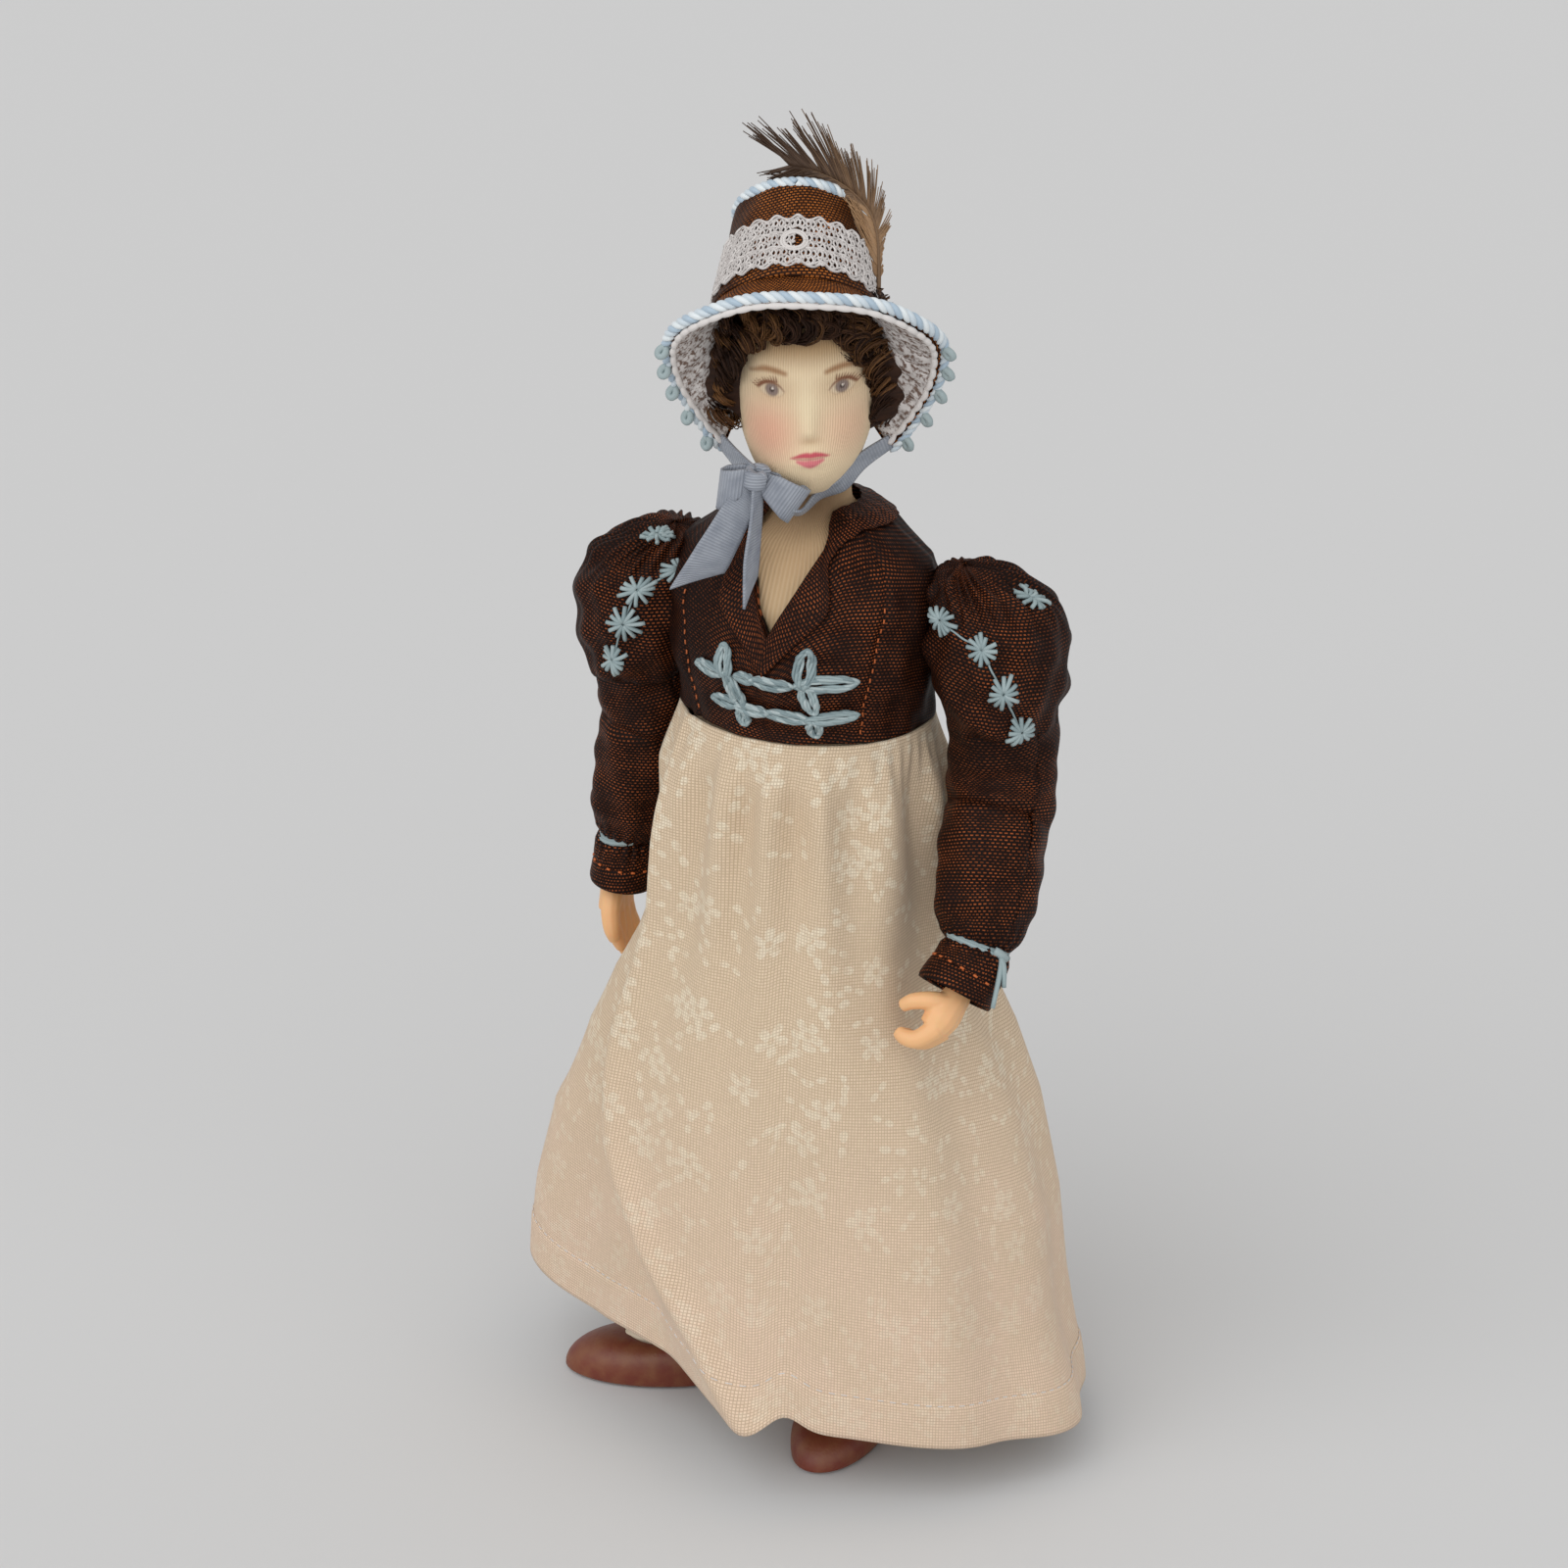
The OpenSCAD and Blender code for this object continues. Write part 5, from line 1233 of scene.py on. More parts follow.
def paint_face(x, y, front):
    """Colour of each point of the face, laid on in washes and strokes."""
    c = colours()
    colour_of = np.tile(np.array(c.skin), (len(x), 1))
    random = np.random.default_rng(RANDOM_SEED)

    def lay(mask, pigment, amount):
        share = (mask * amount * front)[:, None]
        colour_of[:] = colour_of * (1 - share) + np.array(pigment) * share

    lay(soft_disc(x, y, 0, -3, 5.5, 7.5, 0.5), linear("#F2DDBA"), 0.5)
    lay(soft_disc(x, y, -3.9, -4.2, 2.4, 2.6, 0.9), c.blush, 0.55)
    lay(soft_disc(x, y, 3.7, -4.2, 2.3, 2.5, 0.9), c.blush, 0.30)
    # Painted highlight down the bridge of the nose and painted shadow under its tip
    lay(soft_disc(x, y, 0, -1.8, 0.8, 2.2, 0.9), linear("#F6E6C2"), 0.55)
    lay(soft_disc(x, y, 0.1, -5.0, 0.9, 0.35, 0.9), linear("#C79A6C"), 0.35)
    # The brim shades the top of the forehead
    lay(ease(1.4, 4.6, y), linear("#A5835A"), 0.9)
    for s in (-1, 1):
        e = s * EYE_APART
        # Shade of the socket, white of the eye, iris with its ring, pupil and glint
        lay(soft_disc(x, y, e, 0.1, 2.0, 1.3, 0.8), linear("#BC9670"), 0.35)
        lay(soft_disc(x, y, e, -0.03, 1.12, 0.60, 0.3), linear("#DDCBB2"), 0.8)
        lay(soft_disc(x, y, e, -0.02, 0.66, 0.64, 0.2), linear("#6A4E46"), 0.75)
        lay(soft_disc(x, y, e, -0.04, 0.56, 0.54, 0.22), c.iris, 0.95)
        lay(soft_disc(x, y, e, -0.04, 0.24, 0.24, 0.3), linear("#3A2622"), 0.9)
        lay(soft_disc(x, y, e + 0.06, 0.06, 0.13, 0.12, 0.4), linear("#F2E6DC"), 0.95)
        lid = [(e - s * 1.2, -0.1), (e - s * 0.7, 0.42), (e, 0.72), (e + s * 0.75, 0.58), (e + s * 1.3, 0.1)]
        lay(stroke(x, y, lid, (0.10, 0.22, 0.34, 0.40, 0.30), 0.12), c.lids, 0.85)
        low = [(e - s * 1.2, -0.3), (e - s * 0.5, -0.72), (e + s * 0.6, -0.66), (e + s * 1.35, -0.1)]
        lay(stroke(x, y, low, (0.06, 0.12, 0.12, 0.12), 0.12), c.lids, 0.22)
        for k in range(10):
            t = k / 9
            bx, by = e + s * (-0.5 + 1.95 * t), 0.80 - 0.72 * t ** 2
            tip = (bx + s * (0.05 + 0.55 * t), by + 0.62 - 0.32 * t + random.uniform(-0.08, 0.08))
            lay(stroke(x, y, [(bx, by), tip], (0.20, 0.06), 0.06), c.lids, 0.85)
        brow = [(e - s * 1.35, 1.78), (e - s * 0.5, 2.0), (e + s * 0.6, 2.05), (e + s * 2.0, 1.55)]
        lay(stroke(x, y, brow, (0.45, 0.62, 0.6, 0.25), 0.28), c.brows, 0.82)
    # The mouth: a deeper upper lip with a slight bow, a lighter full lower lip
    m = -6.65
    upper = [(-1.85, m + 0.02), (-0.9, m + 0.28), (-0.3, m + 0.34), (0.1, m + 0.30), (0.5, m + 0.34),
             (1.1, m + 0.26), (1.85, m + 0.05)]
    lay(stroke(x, y, upper, (0.12, 0.42, 0.52, 0.48, 0.52, 0.40, 0.12), 0.12), c.lips, 0.95)
    lower = [(-1.2, m - 0.30), (0.0, m - 0.55), (1.2, m - 0.28)]
    lay(stroke(x, y, lower, (0.3, 0.85, 0.3), 0.16), linear("#DC6F80"), 0.92)
    parting = [(-1.6, m - 0.02), (0.0, m - 0.06), (1.6, m)]
    lay(stroke(x, y, parting, (0.1, 0.16, 0.1), 0.08), linear("#A83048"), 0.7)
    return colour_of


class DOLL_OT_head(bpy.types.Operator):
    """Stuffed head with a painted face"""
    bl_idname = "doll.head"
    bl_label = "Head and face"

    def execute(self, context):
        def face_bearing(u):
            """Bearing round the head, with most points at the face."""
            t = 2 * u - 1
            return math.pi * (0.36 * t + 0.64 * t ** 3)

        def place(u, v):
            bearing = face_bearing(u)
            z = HEAD[0, 0] + (HEAD[-1, 0] - HEAD[0, 0]) * (v - 0.07 * np.sin(TAU * v))
            flat = head_point(bearing, z)
            x, y = face_place(flat)
            front = ease(0.1, 0.5, np.cos(bearing))
            nose = 0.62 * hump(x, 0, 0.95) * ease(0.2, -3.6, y) * ease(-5.4, -3.9, y)
            sockets = sum(-0.34 * hump(x, s * EYE_APART, 1.7) * hump(y, 0.2, 1.1) for s in (-1, 1))
            cheeks = sum(0.22 * hump(x, s * 3.6, 1.8) * hump(y, -4.0, 1.8) for s in (-1, 1))
            lips = 0.26 * hump(x, 0, 1.4) * (hump(y, -6.35, 0.4) + hump(y, -7.2, 0.45))
            shaped = head_point(bearing, z, (nose + sockets + cheeks + lips) * front)
            return on_head(shaped)

        head = shaped_grid("head_knit", 340, 250, place, lambda u, v: (9.5 * face_bearing(u), 26 * v))
        face_out(head)
        still = off_head(points_of(head))
        x, y = face_place(still)
        front = ease(-2.0, -4.5, still[:, 1])
        colour_points(head, paint_face(x, y, front))
        finish_piece(head, "painted knit", "head", "knit_skin", "head_stuffing")
        return {"FINISHED"}


class DOLL_OT_hair(bpy.types.Operator):
    """Wig of curled fibre: a matted cap and loose curls round the face"""
    bl_idname = "doll.hair"
    bl_label = "Hair"

    def execute(self, context):
        random = np.random.default_rng(RANDOM_SEED)

        def window(bearing, z):
            """Above 0 where the face is bare."""
            return 1 - (np.abs(bearing) / FACE_HALF_ANGLE) ** 2 - ((z - FACE_WINDOW[0]) / FACE_WINDOW[1]) ** 2

        def place(u, v):
            bearing = from_back(u)
            low = HAIR_LOW - 4.2 * ease(1.5, 2.3, np.abs(bearing))
            z = low + (HEAD[-1, 0] + 0.6 - low) * v
            bare = ease(-0.05, 0.30, window(bearing, z))
            waves = ((1.0, 0.8, 0.3, 0.28), (1.9, -1.1, 1.0, 0.22), (3.3, 1.7, 2.0, 0.16))
            bumps = ripple(bearing * 9, z * 1.6, waves)
            full = 1.1 + 2.0 * hump(np.abs(bearing), 1.4, 0.36) * ease(106, 109, z) * ease(119.5, 116.5, z)
            tuck = ease(low + 3.5, low, z + 1.2 * np.sin(bearing * 5))
            away = (full + bumps) * (1 - bare) * (1 - tuck) - 0.7 * np.maximum(bare, tuck)
            return on_head(head_point(bearing, z, away))

        cap = shaped_grid("hair_cap", 150, 80, place, lambda u, v: (50 * u, 20 * v))
        face_out(cap)
        mark(cap, "tone", random.uniform(0.12, 0.42, len(cap.data.vertices)))
        finish_piece(cap, "curled fibre", "head", "hair", "wig")

        # Curls: small coils of fibre that lie round the edge of the face and in a few rows behind it
        paths, radii, tones = [], [], []
        for row, (grow, count) in enumerate(((1.0, 36), (1.14, 38), (1.30, 36), (1.5, 30))):
            for k in range(count):
                angle = math.radians(-152 + 304 * (k + random.uniform(-0.3, 0.3)) / (count - 1))
                bearing = FACE_HALF_ANGLE * grow * math.sin(angle)
                z = FACE_WINDOW[0] + FACE_WINDOW[1] * (0.97 + 0.06 * row) * grow ** 0.3 * math.cos(angle)
                if z < HAIR_LOW + 1.2 or z > 124:
                    continue
                turns = random.uniform(0.9, 1.9)
                big = random.uniform(0.9, 1.9)
                spin, phase = random.choice([-1, 1]), random.uniform(0, TAU)
                slide = random.uniform(-1.6, 1.6)
                shade = random.uniform(0.2, 0.9)
                for _ in range(15):
                    t = np.linspace(0, 1, 18)
                    a = phase + spin * TAU * turns * t + random.uniform(-0.4, 0.4)
                    r = (big + random.uniform(-0.45, 0.45)) * (1 - 0.5 * t) + random.uniform(-0.05, 0.05, 18)
                    db = (r * np.cos(a) + 0.3 * slide * t) / 7.2
                    dz = r * np.sin(a) - 1.2 * t * abs(math.sin(angle))
                    lift = 1.2 + 0.9 * np.sin(a + 0.6) + 0.5 * random.uniform(-1, 1)
                    lift += (0.2 + 0.35 * abs(math.sin(angle))) * row
                    # Little room is left under the sides of the brim and behind it
                    lift *= 1 - 0.85 * ease(112.5, 116, z + dz) * ease(1.15, 1.45, np.abs(bearing + db))
                    lift *= 1 - 0.7 * ease(1.5, 2.0, np.abs(bearing + db))
                    height = np.clip(z + dz, HAIR_LOW - 0.4, 125)
                    paths.append(on_head(head_point(bearing + db, height, lift)))
                    radii.append(0.065)
                    tones.append(np.clip(shade + random.uniform(-0.25, 0.25), 0, 1))
        curls = strands("hair_curls", paths, radii, 3, tones)
        finish_piece(curls, "curled fibre", "head", "hair")
        return {"FINISHED"}


# Bonnet

BRIM_MIDDLE = np.array([0, -5.8, 118.8])
BONNET_LEAN = math.radians(-50)
CROWN_LOW, CROWN_HIGH = 3.0, 14.2
CROWN_BASE_R, CROWN_TOP_R = 7.5, 5.5
# Radius of the lace band's middle
LACE_RADIUS = 7.3
# The crown stands a little to the doll's right on the brim
CROWN_ASIDE = -1.0
BRIM_SIDE, BRIM_UP, BRIM_DOWN = 13.0, 9.5, 12.4
# How far the brim is widest below the crown's axis, and how far its lower ends come forward
BRIM_DROP, BRIM_AHEAD = 1.6, 3.3
BRIM_ENDS = math.radians(150)


def on_bonnet(points):
    """From the bonnet's own frame, with its crown along Z and up along -Y, to the turned head."""
    p = np.asarray(points, float)
    c, s = math.cos(BONNET_LEAN), math.sin(BONNET_LEAN)
    x, y, z = p[..., 0], p[..., 1], p[..., 2]
    return on_head(np.stack([x, c * y - s * z, s * y + c * z], -1) + BRIM_MIDDLE)


def crown_radius(z):
    return np.interp(z, [CROWN_LOW, CROWN_HIGH], [CROWN_BASE_R, CROWN_TOP_R])


def on_crown(angle, z, away=0.0):
    """A point on the crown; the angle is 0 at the top and grows to the doll's left."""
    r = crown_radius(z) + away
    x, y = r * np.sin(angle) + CROWN_ASIDE, -r * np.cos(angle)
    return on_bonnet(np.stack(np.broadcast_arrays(x, y, z), -1))


def brim_edge(angle):
    """The brim's outline in the bonnet's frame: an oval above, long sides below."""
    t = np.clip((np.abs(angle) - math.pi / 2) / (BRIM_ENDS - math.pi / 2), 0, 1)
    upper = np.abs(angle) <= math.pi / 2
    x = np.where(upper, BRIM_SIDE * np.sin(angle), np.sign(angle) * (BRIM_SIDE - 4.9 * t ** 2))
    y = np.where(upper, -BRIM_UP * np.cos(angle), BRIM_DOWN * t) + BRIM_DROP
    return np.stack([x, y, -BRIM_AHEAD * t ** 1.3], -1)


def brim_point(angle, share, away=0.0):
    """A point on the brim from the crown's base, share 0, to the outline, share 1."""
    edge = brim_edge(angle)
    root = np.stack([CROWN_BASE_R * np.sin(angle) + CROWN_ASIDE, -CROWN_BASE_R * np.cos(angle),
                     0 * angle + CROWN_LOW - 0.2], -1)
    p = root + (edge - root) * share[..., None]
    sag = 0.5 * np.sin(math.pi * share) + 0.10 * np.sin(7 * angle + 1) * share
    return on_bonnet(p + np.stack([0 * angle, 0 * angle, away - sag], -1))


class DOLL_OT_bonnet(bpy.types.Operator):
    """Silk bonnet: crown, brim, mottled lining with a scalloped edge, satin cords and drops"""
    bl_idname = "doll.bonnet"
    bl_label = "Bonnet"

    def execute(self, context):
        def crown(u, v):
            angle = TAU * (0.5 - u)
            z = CROWN_LOW - 0.4 + (CROWN_HIGH - CROWN_LOW + 0.4) * v
            return on_crown(angle, z, 0.10 * np.sin(5 * angle + 0.6 * z) + 0.06 * np.sin(9 * angle - z))

        def crown_flat(u, v):
            return TAU * 7 * (u - 0.5), 10.4 * v

        # Painted shade: the silk is darker towards the crown's sides, where it turns from the light
        def crown_painted_shade(u, v):
            return 0.75 * ease(0.3, 0.95, np.abs(np.sin(TAU * (0.5 - u))))

        side = shaped_grid("crown_side", 110, 24, crown, crown_flat, True, 0.5, crown_painted_shade)
        face_out(side)
        finish_piece(side, "bonnet silk", "head", "bonnet_silk", "bonnet_crown")

        def top(u, v):
            angle = TAU * (0.5 - u)
            r = CROWN_TOP_R * (1 - v) + 0.05
            z = CROWN_HIGH - 0.25 + 0.7 * (1 - (r / CROWN_TOP_R) ** 2)
            return on_bonnet(np.stack([r * np.sin(angle) + CROWN_ASIDE, -r * np.cos(angle), z], -1))

        def top_flat(u, v):
            return 6 * np.sin(TAU * u) * (1 - v), 6 * np.cos(TAU * u) * (1 - v)

        lid = shaped_grid("crown_lid", 72, 16, top, top_flat, True, 0.4)
        face_out(lid, True)
        finish_piece(lid, "bonnet silk", "head", "bonnet_silk", "bonnet_crown_top")

        def brim(u, v):
            return brim_point(BRIM_ENDS * (1 - 2 * u), 1 - v)

        outer = shaped_grid("brim_silk", 160, 24, brim, lambda u, v: (62 * u, 7 * v), False, 0.0)
        modify(outer, "SOLIDIFY", thickness=0.5 * MM, offset=0)
        face_out(outer)
        finish_piece(outer, "bonnet silk", "head", "bonnet_silk", "bonnet_brim")

        def inner(u, v):
            angle = BRIM_ENDS * 0.985 * (1 - 2 * u)
            scallop = 0.885 + 0.012 * np.abs(np.sin(angle * 24))
            share = -0.25 + (scallop + 0.25) * (1 - v)
            return brim_point(angle, share, -0.62 - 0.12 * np.sin(angle * 31) * (1 - v))

        lining = shaped_grid("lining_cloth", 220, 24, inner, lambda u, v: (62 * u, 7 * v), False, 0.0)
        modify(lining, "SOLIDIFY", thickness=0.3 * MM, offset=0)
        face_out(lining)
        finish_piece(lining, "brim lining", "head", "lace", "brim_lining")
        # White picot edge of the lining
        angle = np.linspace(-BRIM_ENDS * 0.98, BRIM_ENDS * 0.98, 420)
        share = 0.885 + 0.02 * np.abs(np.sin(angle * 24))
        edge = strands("lining_edge", [brim_point(angle, share, -0.78)],
                       [0.22 + 0.10 * np.abs(np.sin(angle * 24))], 8, [1.0])
        finish_piece(edge, "lace thread", "head", "lace")

        def satin(name, path, node_name, pitch):
            width = sizes().cord_width
            made = twisted(path, 3, 0.27 * width, pitch)
            piece = strands(name, made, 0.30 * width, 8, [1.0, 0.55, 0.8])
            return finish_piece(piece, "satin cord", "head", "satin_cord", node_name)

        angle = np.linspace(-BRIM_ENDS, BRIM_ENDS, 520)
        satin("brim_cord_satin", brim_point(angle, 0 * angle + 1.035, 0.30), "brim_cord", sizes().cord_twist)
        angle = np.linspace(0, TAU * 0.998, 320)
        satin("crown_cord_satin", on_crown(angle, 0 * angle + CROWN_HIGH, 0.35), "crown_cord",
              sizes().cord_twist * 0.8)

        # Drops: small loops of floss along the lower part of the brim
        loops = []
        for s in (-1, 1):
            for degrees in (84, 99, 113, 128, 142):
                a = np.array([s * math.radians(degrees)])
                at = brim_point(a, a * 0 + 1.04)[0]
                out = unit(brim_point(a, a * 0 + 1.2)[0] - at)
                down = unit(np.array([0, 0, -1.0]) + 1.2 * out)
                aside = unit(np.cross(down, [0.3, 1, 0.2]))
                turn = np.linspace(0, TAU * 0.97, 18)
                wide = 0.26 + 0.16 * (1 - np.cos(turn)) / 2
                loops.append(at + down * (0.75 - 0.55 * np.cos(turn))[:, None]
                             + aside * (wide * np.sin(turn))[:, None])
        drops = strands("drops", loops, 0.36, 7, 0.6)
        finish_piece(drops, "embroidery floss", "head", "satin_cord", "picot_drops")
        return {"FINISHED"}


class DOLL_OT_lace(bpy.types.Operator):
    """Band of cotton lace round the crown with a round eyelet at the front"""
    bl_idname = "doll.lace"
    bl_label = "Lace band"

    def execute(self, context):
        random = np.random.default_rng(RANDOM_SEED)
        low, high = CROWN_LOW + 0.9, CROWN_LOW + 6.4
        eyelet = np.array([0.0, (low + high) / 2 + 0.1])
        paths, radii, tones = [], [], []

        def thread(angle, z, r, away=0.25):
            clear = np.hypot((angle - eyelet[0]) * crown_radius(z), z - eyelet[1])
            if clear.min() < 0.95:
                return
            paths.append(on_crown(angle, z, away + 0.36 + 0.06 * np.sin(angle * 40)))
            radii.append(r)
            tones.append(random.uniform(0.2, 1.0))

        rows = np.linspace(low, high, 7)
        count = int(TAU * LACE_RADIUS / sizes().lace_mesh)
        step = TAU / count
        for i, z in enumerate(rows):
            wave = 0.28 if i in (0, 6) else 0.10
            for k in range(count):
                angle = k * step + np.linspace(0, step * 1.15, 6)
                thread(angle, z + wave * np.sin(angle * (count / 4 if i in (0, 6) else count / 2)), 0.13)
                if i in (0, 2, 4, 6):
                    thread(angle, z + 0.2 + wave * np.sin(angle * count / 4 + 0.7), 0.12, 0.34)
        for i in range(6):
            for k in range(count):
                start = (k + 0.5 * (i % 2)) * step + random.uniform(-0.012, 0.012)
                for lean in (-0.45, 0.45):
                    t = np.linspace(0, 1, 6)
                    angle = start + lean * step * np.sin(math.pi * t)
                    thread(angle, rows[i] + (rows[i + 1] - rows[i]) * t, 0.105, 0.3 + 0.08 * lean)
        turn = np.linspace(0, TAU, 40)
        for reach, r in ((0.95, 0.17), (1.2, 0.14)):
            angle = eyelet[0] + reach * np.cos(turn) / LACE_RADIUS
            paths.append(on_crown(angle, eyelet[1] + reach * np.sin(turn), 0.74))
            radii.append(r)
            tones.append(0.9)
        lace = strands("lace_threads", paths, radii, 5, tones)
        finish_piece(lace, "lace thread", "head", "lace", "lace_band")
        return {"FINISHED"}


# Trims

FEATHER = BRIM_MIDDLE + np.array([6.9, 0, 0.6]) + 0.76 * np.array([
    [0, 4.6, 3.9], [0, 6.6, 7.4], [-0.3, 8.4, 11], [-1.6, 9.6, 14], [-4.6, 10.5, 16.6], [-8.2, 11, 18.2],
    [-11.8, 11.2, 18.9]])
KNOT = np.array([-4.5, -7.2, 105.9])


class DOLL_OT_feather(bpy.types.Operator):
    """Small feather beside the crown: a curved quill with barbs in ragged tufts"""
    bl_idname = "doll.feather"
    bl_label = "Feather"

    def execute(self, context):
        random = np.random.default_rng(RANDOM_SEED)
        quill = curve_points(FEATHER, 120)
        ahead = unit(np.gradient(quill, axis=0))
        # The vane spreads in the plane that faces the viewer
        spread = unit(np.cross(ahead, [0, 1, 0.15]))
        paths = [on_head(quill[:112])]
        radii = [np.linspace(0.26, 0.07, 112)]
        tones = [0.35]
        for side, count in ((1, 210), (-1, 190)):
            tuft, lean_of, long_of = 0, 0.0, 1.0
            for k in range(count):
                t = 0.10 + 0.88 * k / count
                if k >= tuft:
                    tuft = k + random.integers(5, 14)
                    lean_of, long_of = random.uniform(-0.16, 0.16), random.uniform(0.75, 1.15)
                i = int(t * 119)
                reach = (np.interp(t, [0, 0.25, 0.5, 0.8, 1], [2.6, 5.2, 5.6, 4.6, 3.0]) if side > 0
                         else np.interp(t, [0, 0.2, 0.4, 0.7, 1], [0.4, 0.9, 3.0, 6.4, 5.0]))
                reach *= long_of * random.uniform(0.85, 1.08)
                open_way = 0.62 + lean_of + random.uniform(-0.06, 0.06)
                way = ahead[i] * math.cos(open_way) + side * spread[i] * math.sin(open_way)
                curl = ahead[i] * 0.35 + np.array([0, random.uniform(-0.25, 0.25), 0.05])
                s = np.linspace(0, 1, 7)[:, None]
                barb = quill[i] + way * reach * s + curl * reach * 0.4 * s ** 2
                paths.append(on_head(barb))
                radii.append(np.linspace(0.10, 0.045, 7))
                fluffy = side > 0 and t < 0.5
                tones.append(np.clip((0.85 if fluffy else 0.9 - 1.0 * t) + random.uniform(-0.22, 0.12), 0, 1))
        feather = strands("feather_barbs", paths, radii, 4, tones)
        finish_piece(feather, "feather barb", "head", "feather", "feather")
        return {"FINISHED"}


class DOLL_OT_ribbons(bpy.types.Operator):
    """Ribbon ties under the jaw and the bow with its loops and tails"""
    bl_idname = "doll.ribbons"
    bl_label = "Ribbon and bow"

    def band(self, name, points, across, half_widths, *nodes, cut=0.0):
        """A ribbon through a few points; across gives its width's way there, and cut slants its end."""
        count = 60
        path = curve_points(np.asarray(points, float), count)
        wide = unit(curve_points(np.asarray(across, float), count))
        half = np.interp(np.linspace(0, 1, count), np.linspace(0, 1, len(half_widths)), half_widths)
        run = np.sum(np.linalg.norm(np.diff(path, axis=0), axis=1))

        def place(u, v):
            i = v * (count - 1) * (1 - cut * u * v ** 3)
            centre, way = read_at(i, np.arange(count), path, wide)
            w = np.interp(i, np.arange(count), half)
            return on_head(centre + way * ((2 * u - 1) * w)[:, None])

        piece = shaped_grid(name, 10, count, place, lambda u, v: (4 * u, run * v), False)
        modify(piece, "SOLIDIFY", thickness=0.28 * MM, offset=0)
        face_out(piece)
        return finish_piece(piece, "silk ribbon", "head", "ribbon", *nodes)

    def execute(self, context):
        ends = off_head(brim_point(np.array([BRIM_ENDS, -BRIM_ENDS]) * 0.98, np.array([0.92, 0.92]), -0.5))
        jaw = head_point(np.array([1.3, 0.95, 0.5]), np.array([105.9, 104.2, 102.9]), 0.45)
        self.band("tie_left", [ends[0], *jaw, [-0.6, -7.3, 102.1], [-3.0, -7.5, 104.0], KNOT],
                  [[0.2, 0.5, -0.85], [0.3, 0.45, -0.85], [0.3, 0.6, -0.75], [0.2, 0.8, -0.55],
                   [0, 0.85, -0.5], [0, 0.6, -0.8], [0.2, 0.5, -0.85]],
                  (0.9, 1.0, 1.0, 1.0, 1.0, 0.9, 0.5), "ribbon_tie_left")
        self.band("tie_right",
                  [ends[1], 0.5 * (ends[1] + KNOT) - [0.2, 0.3, 0], KNOT + [-0.6, 0.3, 0.3], KNOT],
                  [[-0.2, 0.5, -0.85]] * 4, (0.9, 1.1, 1.0, 0.5), "ribbon_tie_right")
        # The left loop is a folded band, the right one hangs as a wide fold
        self.band("loop_right",
                  KNOT + [[-0.3, -0.2, 0], [-1.5, -1.1, -0.5], [-3.0, -0.9, -1.2], [-3.6, 0.0, -1.4],
                          [-2.9, 0.6, -1.1], [-1.3, 0.5, -0.4], [-0.2, 0.2, 0]],
                  [[0.12, 0, 1]] * 7, (0.6, 1.5, 2.0, 2.0, 1.9, 1.3, 0.6), "bow_loops")
        self.band("loop_left",
                  KNOT + [[0.3, -0.3, -0.1], [1.6, -1.2, -0.9], [3.2, -1.3, -2.2], [4.0, -0.6, -2.9],
                          [3.3, 0.3, -2.4], [1.6, 0.4, -1.0], [0.3, 0.2, -0.1]],
                  [[0.55, 0, 0.83]] * 7, (0.6, 1.4, 1.9, 2.0, 1.8, 1.2, 0.6))
        self.band("tail_long",
                  KNOT + [[-0.3, -0.7, -0.3], [-1.8, -1.2, -3.2], [-4.2, -1.3, -7.8], [-6.9, -0.8, -12.4]],
                  [[0.86, 0.1, -0.5], [0.84, 0.0, -0.53], [0.8, 0.1, -0.6], [0.8, 0.25, -0.55]],
                  (0.6, 1.5, 1.9, 1.9), "bow_tails", cut=0.28)
        self.band("tail_short",
                  KNOT + [[0.1, -0.9, -0.3], [0.0, -1.9, -3.5], [-0.4, -3.1, -7.5], [-0.6, -3.8, -12.0]],
                  [[0.7, 0.7, 0], [0.5, 0.85, 0], [0.6, 0.8, 0], [0.5, 0.85, 0]],
                  (0.6, 1.0, 1.1, 1.0), cut=0.2)
        turn = np.linspace(0, TAU * 0.9, 20)
        wrap = [KNOT + np.stack([0.8 * np.cos(turn) + 0.1 * k, -0.55 + 0.75 * np.sin(turn),
                                 0.45 * k + 0.2 * np.sin(turn)], -1) for k in (-1, 0, 1)]
        centre = strands("bow_knot_ribbon", [on_head(p) for p in wrap], 0.55, 8)
        modify(centre, "REMESH", mode="VOXEL", voxel_size=0.12 * MM, use_smooth_shade=True)
        edit(centre, (bpy.ops.uv.cube_project, {"cube_size": MM, "correct_aspect": False}))
        finish_piece(centre, "silk ribbon", "head", "ribbon", "bow_knot")
        return {"FINISHED"}


# Loops of the two frogs: start and end along and above their row, and half width, in mm
UPPER_FROG = (((-4.3, 0.0), (-7.6, 0.2), 0.75), ((-3.9, -0.4), (-4.3, 3.0), 0.75),
              ((-4.1, 0.3), (-3.5, -2.9), 0.40), ((-3.9, 0.2), (-2.4, -3.0), 0.40),
              ((-3.0, 0.2), (-1.2, 0.0), 0.55), ((-1.5, 0.1), (2.2, 0.0), 0.60),
              ((2.3, 0.0), (7.8, 0.5), 0.85), ((3.0, -0.2), (3.1, 3.8), 0.95),
              ((3.0, 0.0), (4.0, -3.0), 0.75))
LOWER_FROG = (((-3.1, 0.1), (-5.9, 0.4), 0.65), ((-3.4, 0.0), (-0.1, 0.0), 0.55),
              ((-0.5, 0.0), (3.6, -0.3), 0.60), ((3.2, -0.3), (8.0, 0.2), 0.60),
              ((-3.0, -0.2), (-2.5, -1.9), 0.65), ((3.8, -0.4), (4.1, -2.3), 0.70))
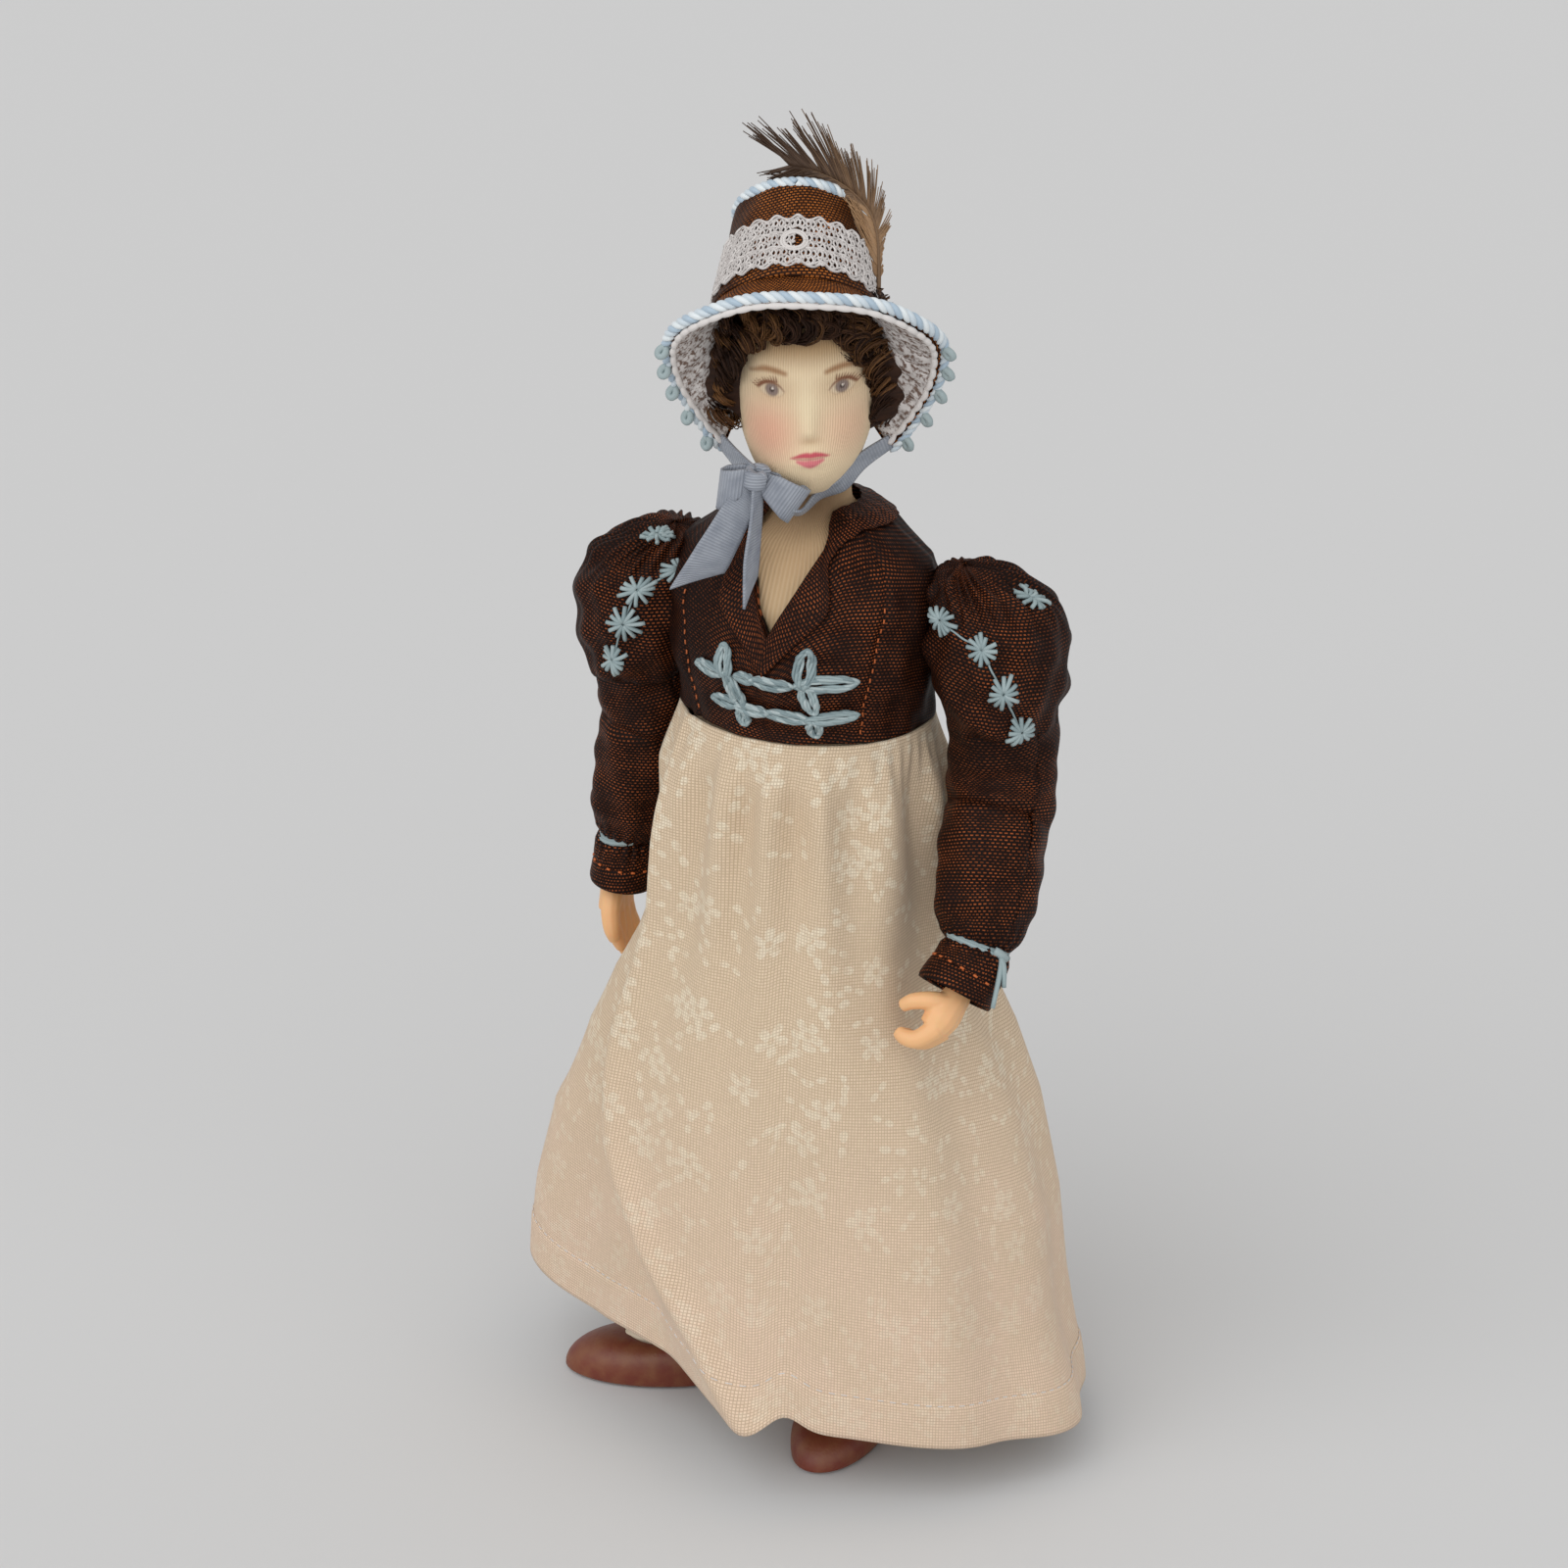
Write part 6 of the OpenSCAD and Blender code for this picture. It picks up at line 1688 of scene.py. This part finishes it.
# Strands laid side by side in one loop
FROG_STRANDS = 7


class DOLL_OT_frogs(bpy.types.Operator):
    """Two frogs of looped and twisted floss across the front of the jacket"""
    bl_idname = "doll.frogs"
    bl_label = "Frog fastenings"

    def execute(self, context):
        random = np.random.default_rng(RANDOM_SEED)
        for name, row, loops in zip(("frog_upper", "frog_lower"), FROG_ROWS, (UPPER_FROG, LOWER_FROG)):
            paths, radii, tones = [], [], []
            for order, (start, end, half) in enumerate(loops):
                start, end = np.array(start), np.array(end)
                along = (end - start) / np.linalg.norm(end - start)
                aside = np.array([-along[1], along[0]])
                for k in range(FROG_STRANDS):
                    t = np.linspace(0, 1, 48)
                    twist = TAU * 5 * t + 2.1 * k
                    wide = half * (0.36 + 0.115 * k) + 0.09 * np.cos(twist)
                    ends = 1.0 - 0.03 * abs(k - 3)
                    out = 1 - np.cos(TAU * t)
                    p = start + (end - start) * (ends * out / 2)[:, None]
                    p = p + aside * (wide * np.sin(TAU * t) * (0.75 + 0.25 * out / 2))[:, None]
                    lift = 0.28 + 0.16 * np.sin(math.pi * (k + 0.5) / FROG_STRANDS)
                    lift = lift + 0.10 * (order % 2) + 0.09 * np.sin(twist)
                    paths.append(jacket_surface(p[:, 0] / 12 + 0.035, row + p[:, 1], JACKET_AWAY + lift))
                    radii.append(0.18)
                    tones.append(random.uniform(0.1, 0.8))
            frog = strands(name + "_floss", paths, radii, 6, tones)
            finish_piece(frog, "embroidery floss", "torso", "satin_cord", name)
        return {"FINISHED"}


# Stage

# Camera: degrees to the doll's left and above the level, and distance in mm
CAMERA = (22, 24, 500)
# Suns: name, way to it, strength and softness in degrees
LAMPS = (("key", (-0.35, -0.85, 0.8), 1.0, 60), ("fill", (0.75, -0.8, 0.22), 0.75, 80))


class DOLL_OT_stage(bpy.types.Operator):
    """Pale floor, soft light and the camera at the photo's angle"""
    bl_idname = "doll.stage"
    bl_label = "Stage"

    def execute(self, context):
        deselect()
        bpy.ops.mesh.primitive_plane_add(size=8, location=(0, 0, -0.0003))
        floor = start_piece("floor")
        paper = bpy.data.materials.new("backdrop paper")
        paper.use_nodes = True
        shader = paper.node_tree.nodes["Principled BSDF"]
        shader.inputs["Base Color"].default_value = (*linear("#D7D7D7"), 1)
        shader.inputs["Roughness"].default_value = 1.0
        shader.inputs["Specular IOR Level"].default_value = 0.0
        floor.data.materials.append(paper)
        world = bpy.data.worlds.new("studio")
        world.use_nodes = True
        world.node_tree.nodes["Background"].inputs["Color"].default_value = (1, 1, 1, 1)
        world.node_tree.nodes["Background"].inputs["Strength"].default_value = 0.62
        context.scene.world = world
        azimuth, elevation, distance = math.radians(CAMERA[0]), math.radians(CAMERA[1]), CAMERA[2]
        back = Vector((math.sin(azimuth) * math.cos(elevation), -math.cos(azimuth) * math.cos(elevation),
                       math.sin(elevation)))
        right = Vector((math.cos(azimuth), math.sin(azimuth), 0))
        up = back.cross(right)
        aim = Vector((0, 0, 70)) - right * 2.35 + up * 0.3
        bpy.ops.object.camera_add(location=(aim + back * distance) * MM)
        camera = context.object
        camera.name = "camera"
        camera.rotation_euler = back.to_track_quat("Z", "Y").to_euler()
        camera.data.sensor_width = 36
        camera.data.lens = 114.75
        camera.data.clip_start = 0.01
        camera.data.dof.use_dof = False
        context.scene.camera = camera
        for name, way, strength, soft in LAMPS:
            bpy.ops.object.light_add(type="SUN", location=Vector(way))
            lamp = context.object
            lamp.name = name
            lamp.data.energy = strength
            lamp.data.angle = math.radians(soft)
            lamp.rotation_euler = Vector(way).to_track_quat("Z", "Y").to_euler()
        context.scene.view_settings.view_transform = "Standard"
        return {"FINISHED"}


class DOLL_PT_dressing(bpy.types.Panel):
    """Sidebar panel with the doll's sizes, colours and steps"""
    bl_label = "Doll Dressing"
    bl_idname = "DOLL_PT_dressing"
    bl_space_type = "VIEW_3D"
    bl_region_type = "UI"
    bl_category = "Doll"

    def draw(self, context):
        for group in (context.scene.doll_sizes, context.scene.doll_colours):
            box = self.layout.box()
            for key in group.__annotations__:
                box.prop(group, key)
        for step in STEPS:
            self.layout.operator(step.bl_idname)


STEPS = (DOLL_OT_body, DOLL_OT_skirt, DOLL_OT_jacket, DOLL_OT_frogs, DOLL_OT_sleeves, DOLL_OT_hands,
         DOLL_OT_legs, DOLL_OT_head, DOLL_OT_hair, DOLL_OT_bonnet, DOLL_OT_lace, DOLL_OT_feather,
         DOLL_OT_ribbons, DOLL_OT_stage)
CLASSES = (DollColours, DollSizes, *STEPS, DOLL_PT_dressing)


def register():
    for cls in CLASSES:
        bpy.utils.register_class(cls)
    bpy.types.Scene.doll_sizes = bpy.props.PointerProperty(type=DollSizes)
    bpy.types.Scene.doll_colours = bpy.props.PointerProperty(type=DollColours)


def unregister():
    del bpy.types.Scene.doll_colours
    del bpy.types.Scene.doll_sizes
    for cls in reversed(CLASSES):
        bpy.utils.unregister_class(cls)


def main():
    """Registers the add-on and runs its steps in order."""
    register()
    for step in STEPS:
        getattr(bpy.ops.doll, step.bl_idname.split(".")[1])()


if __name__ == "__main__":
    main()
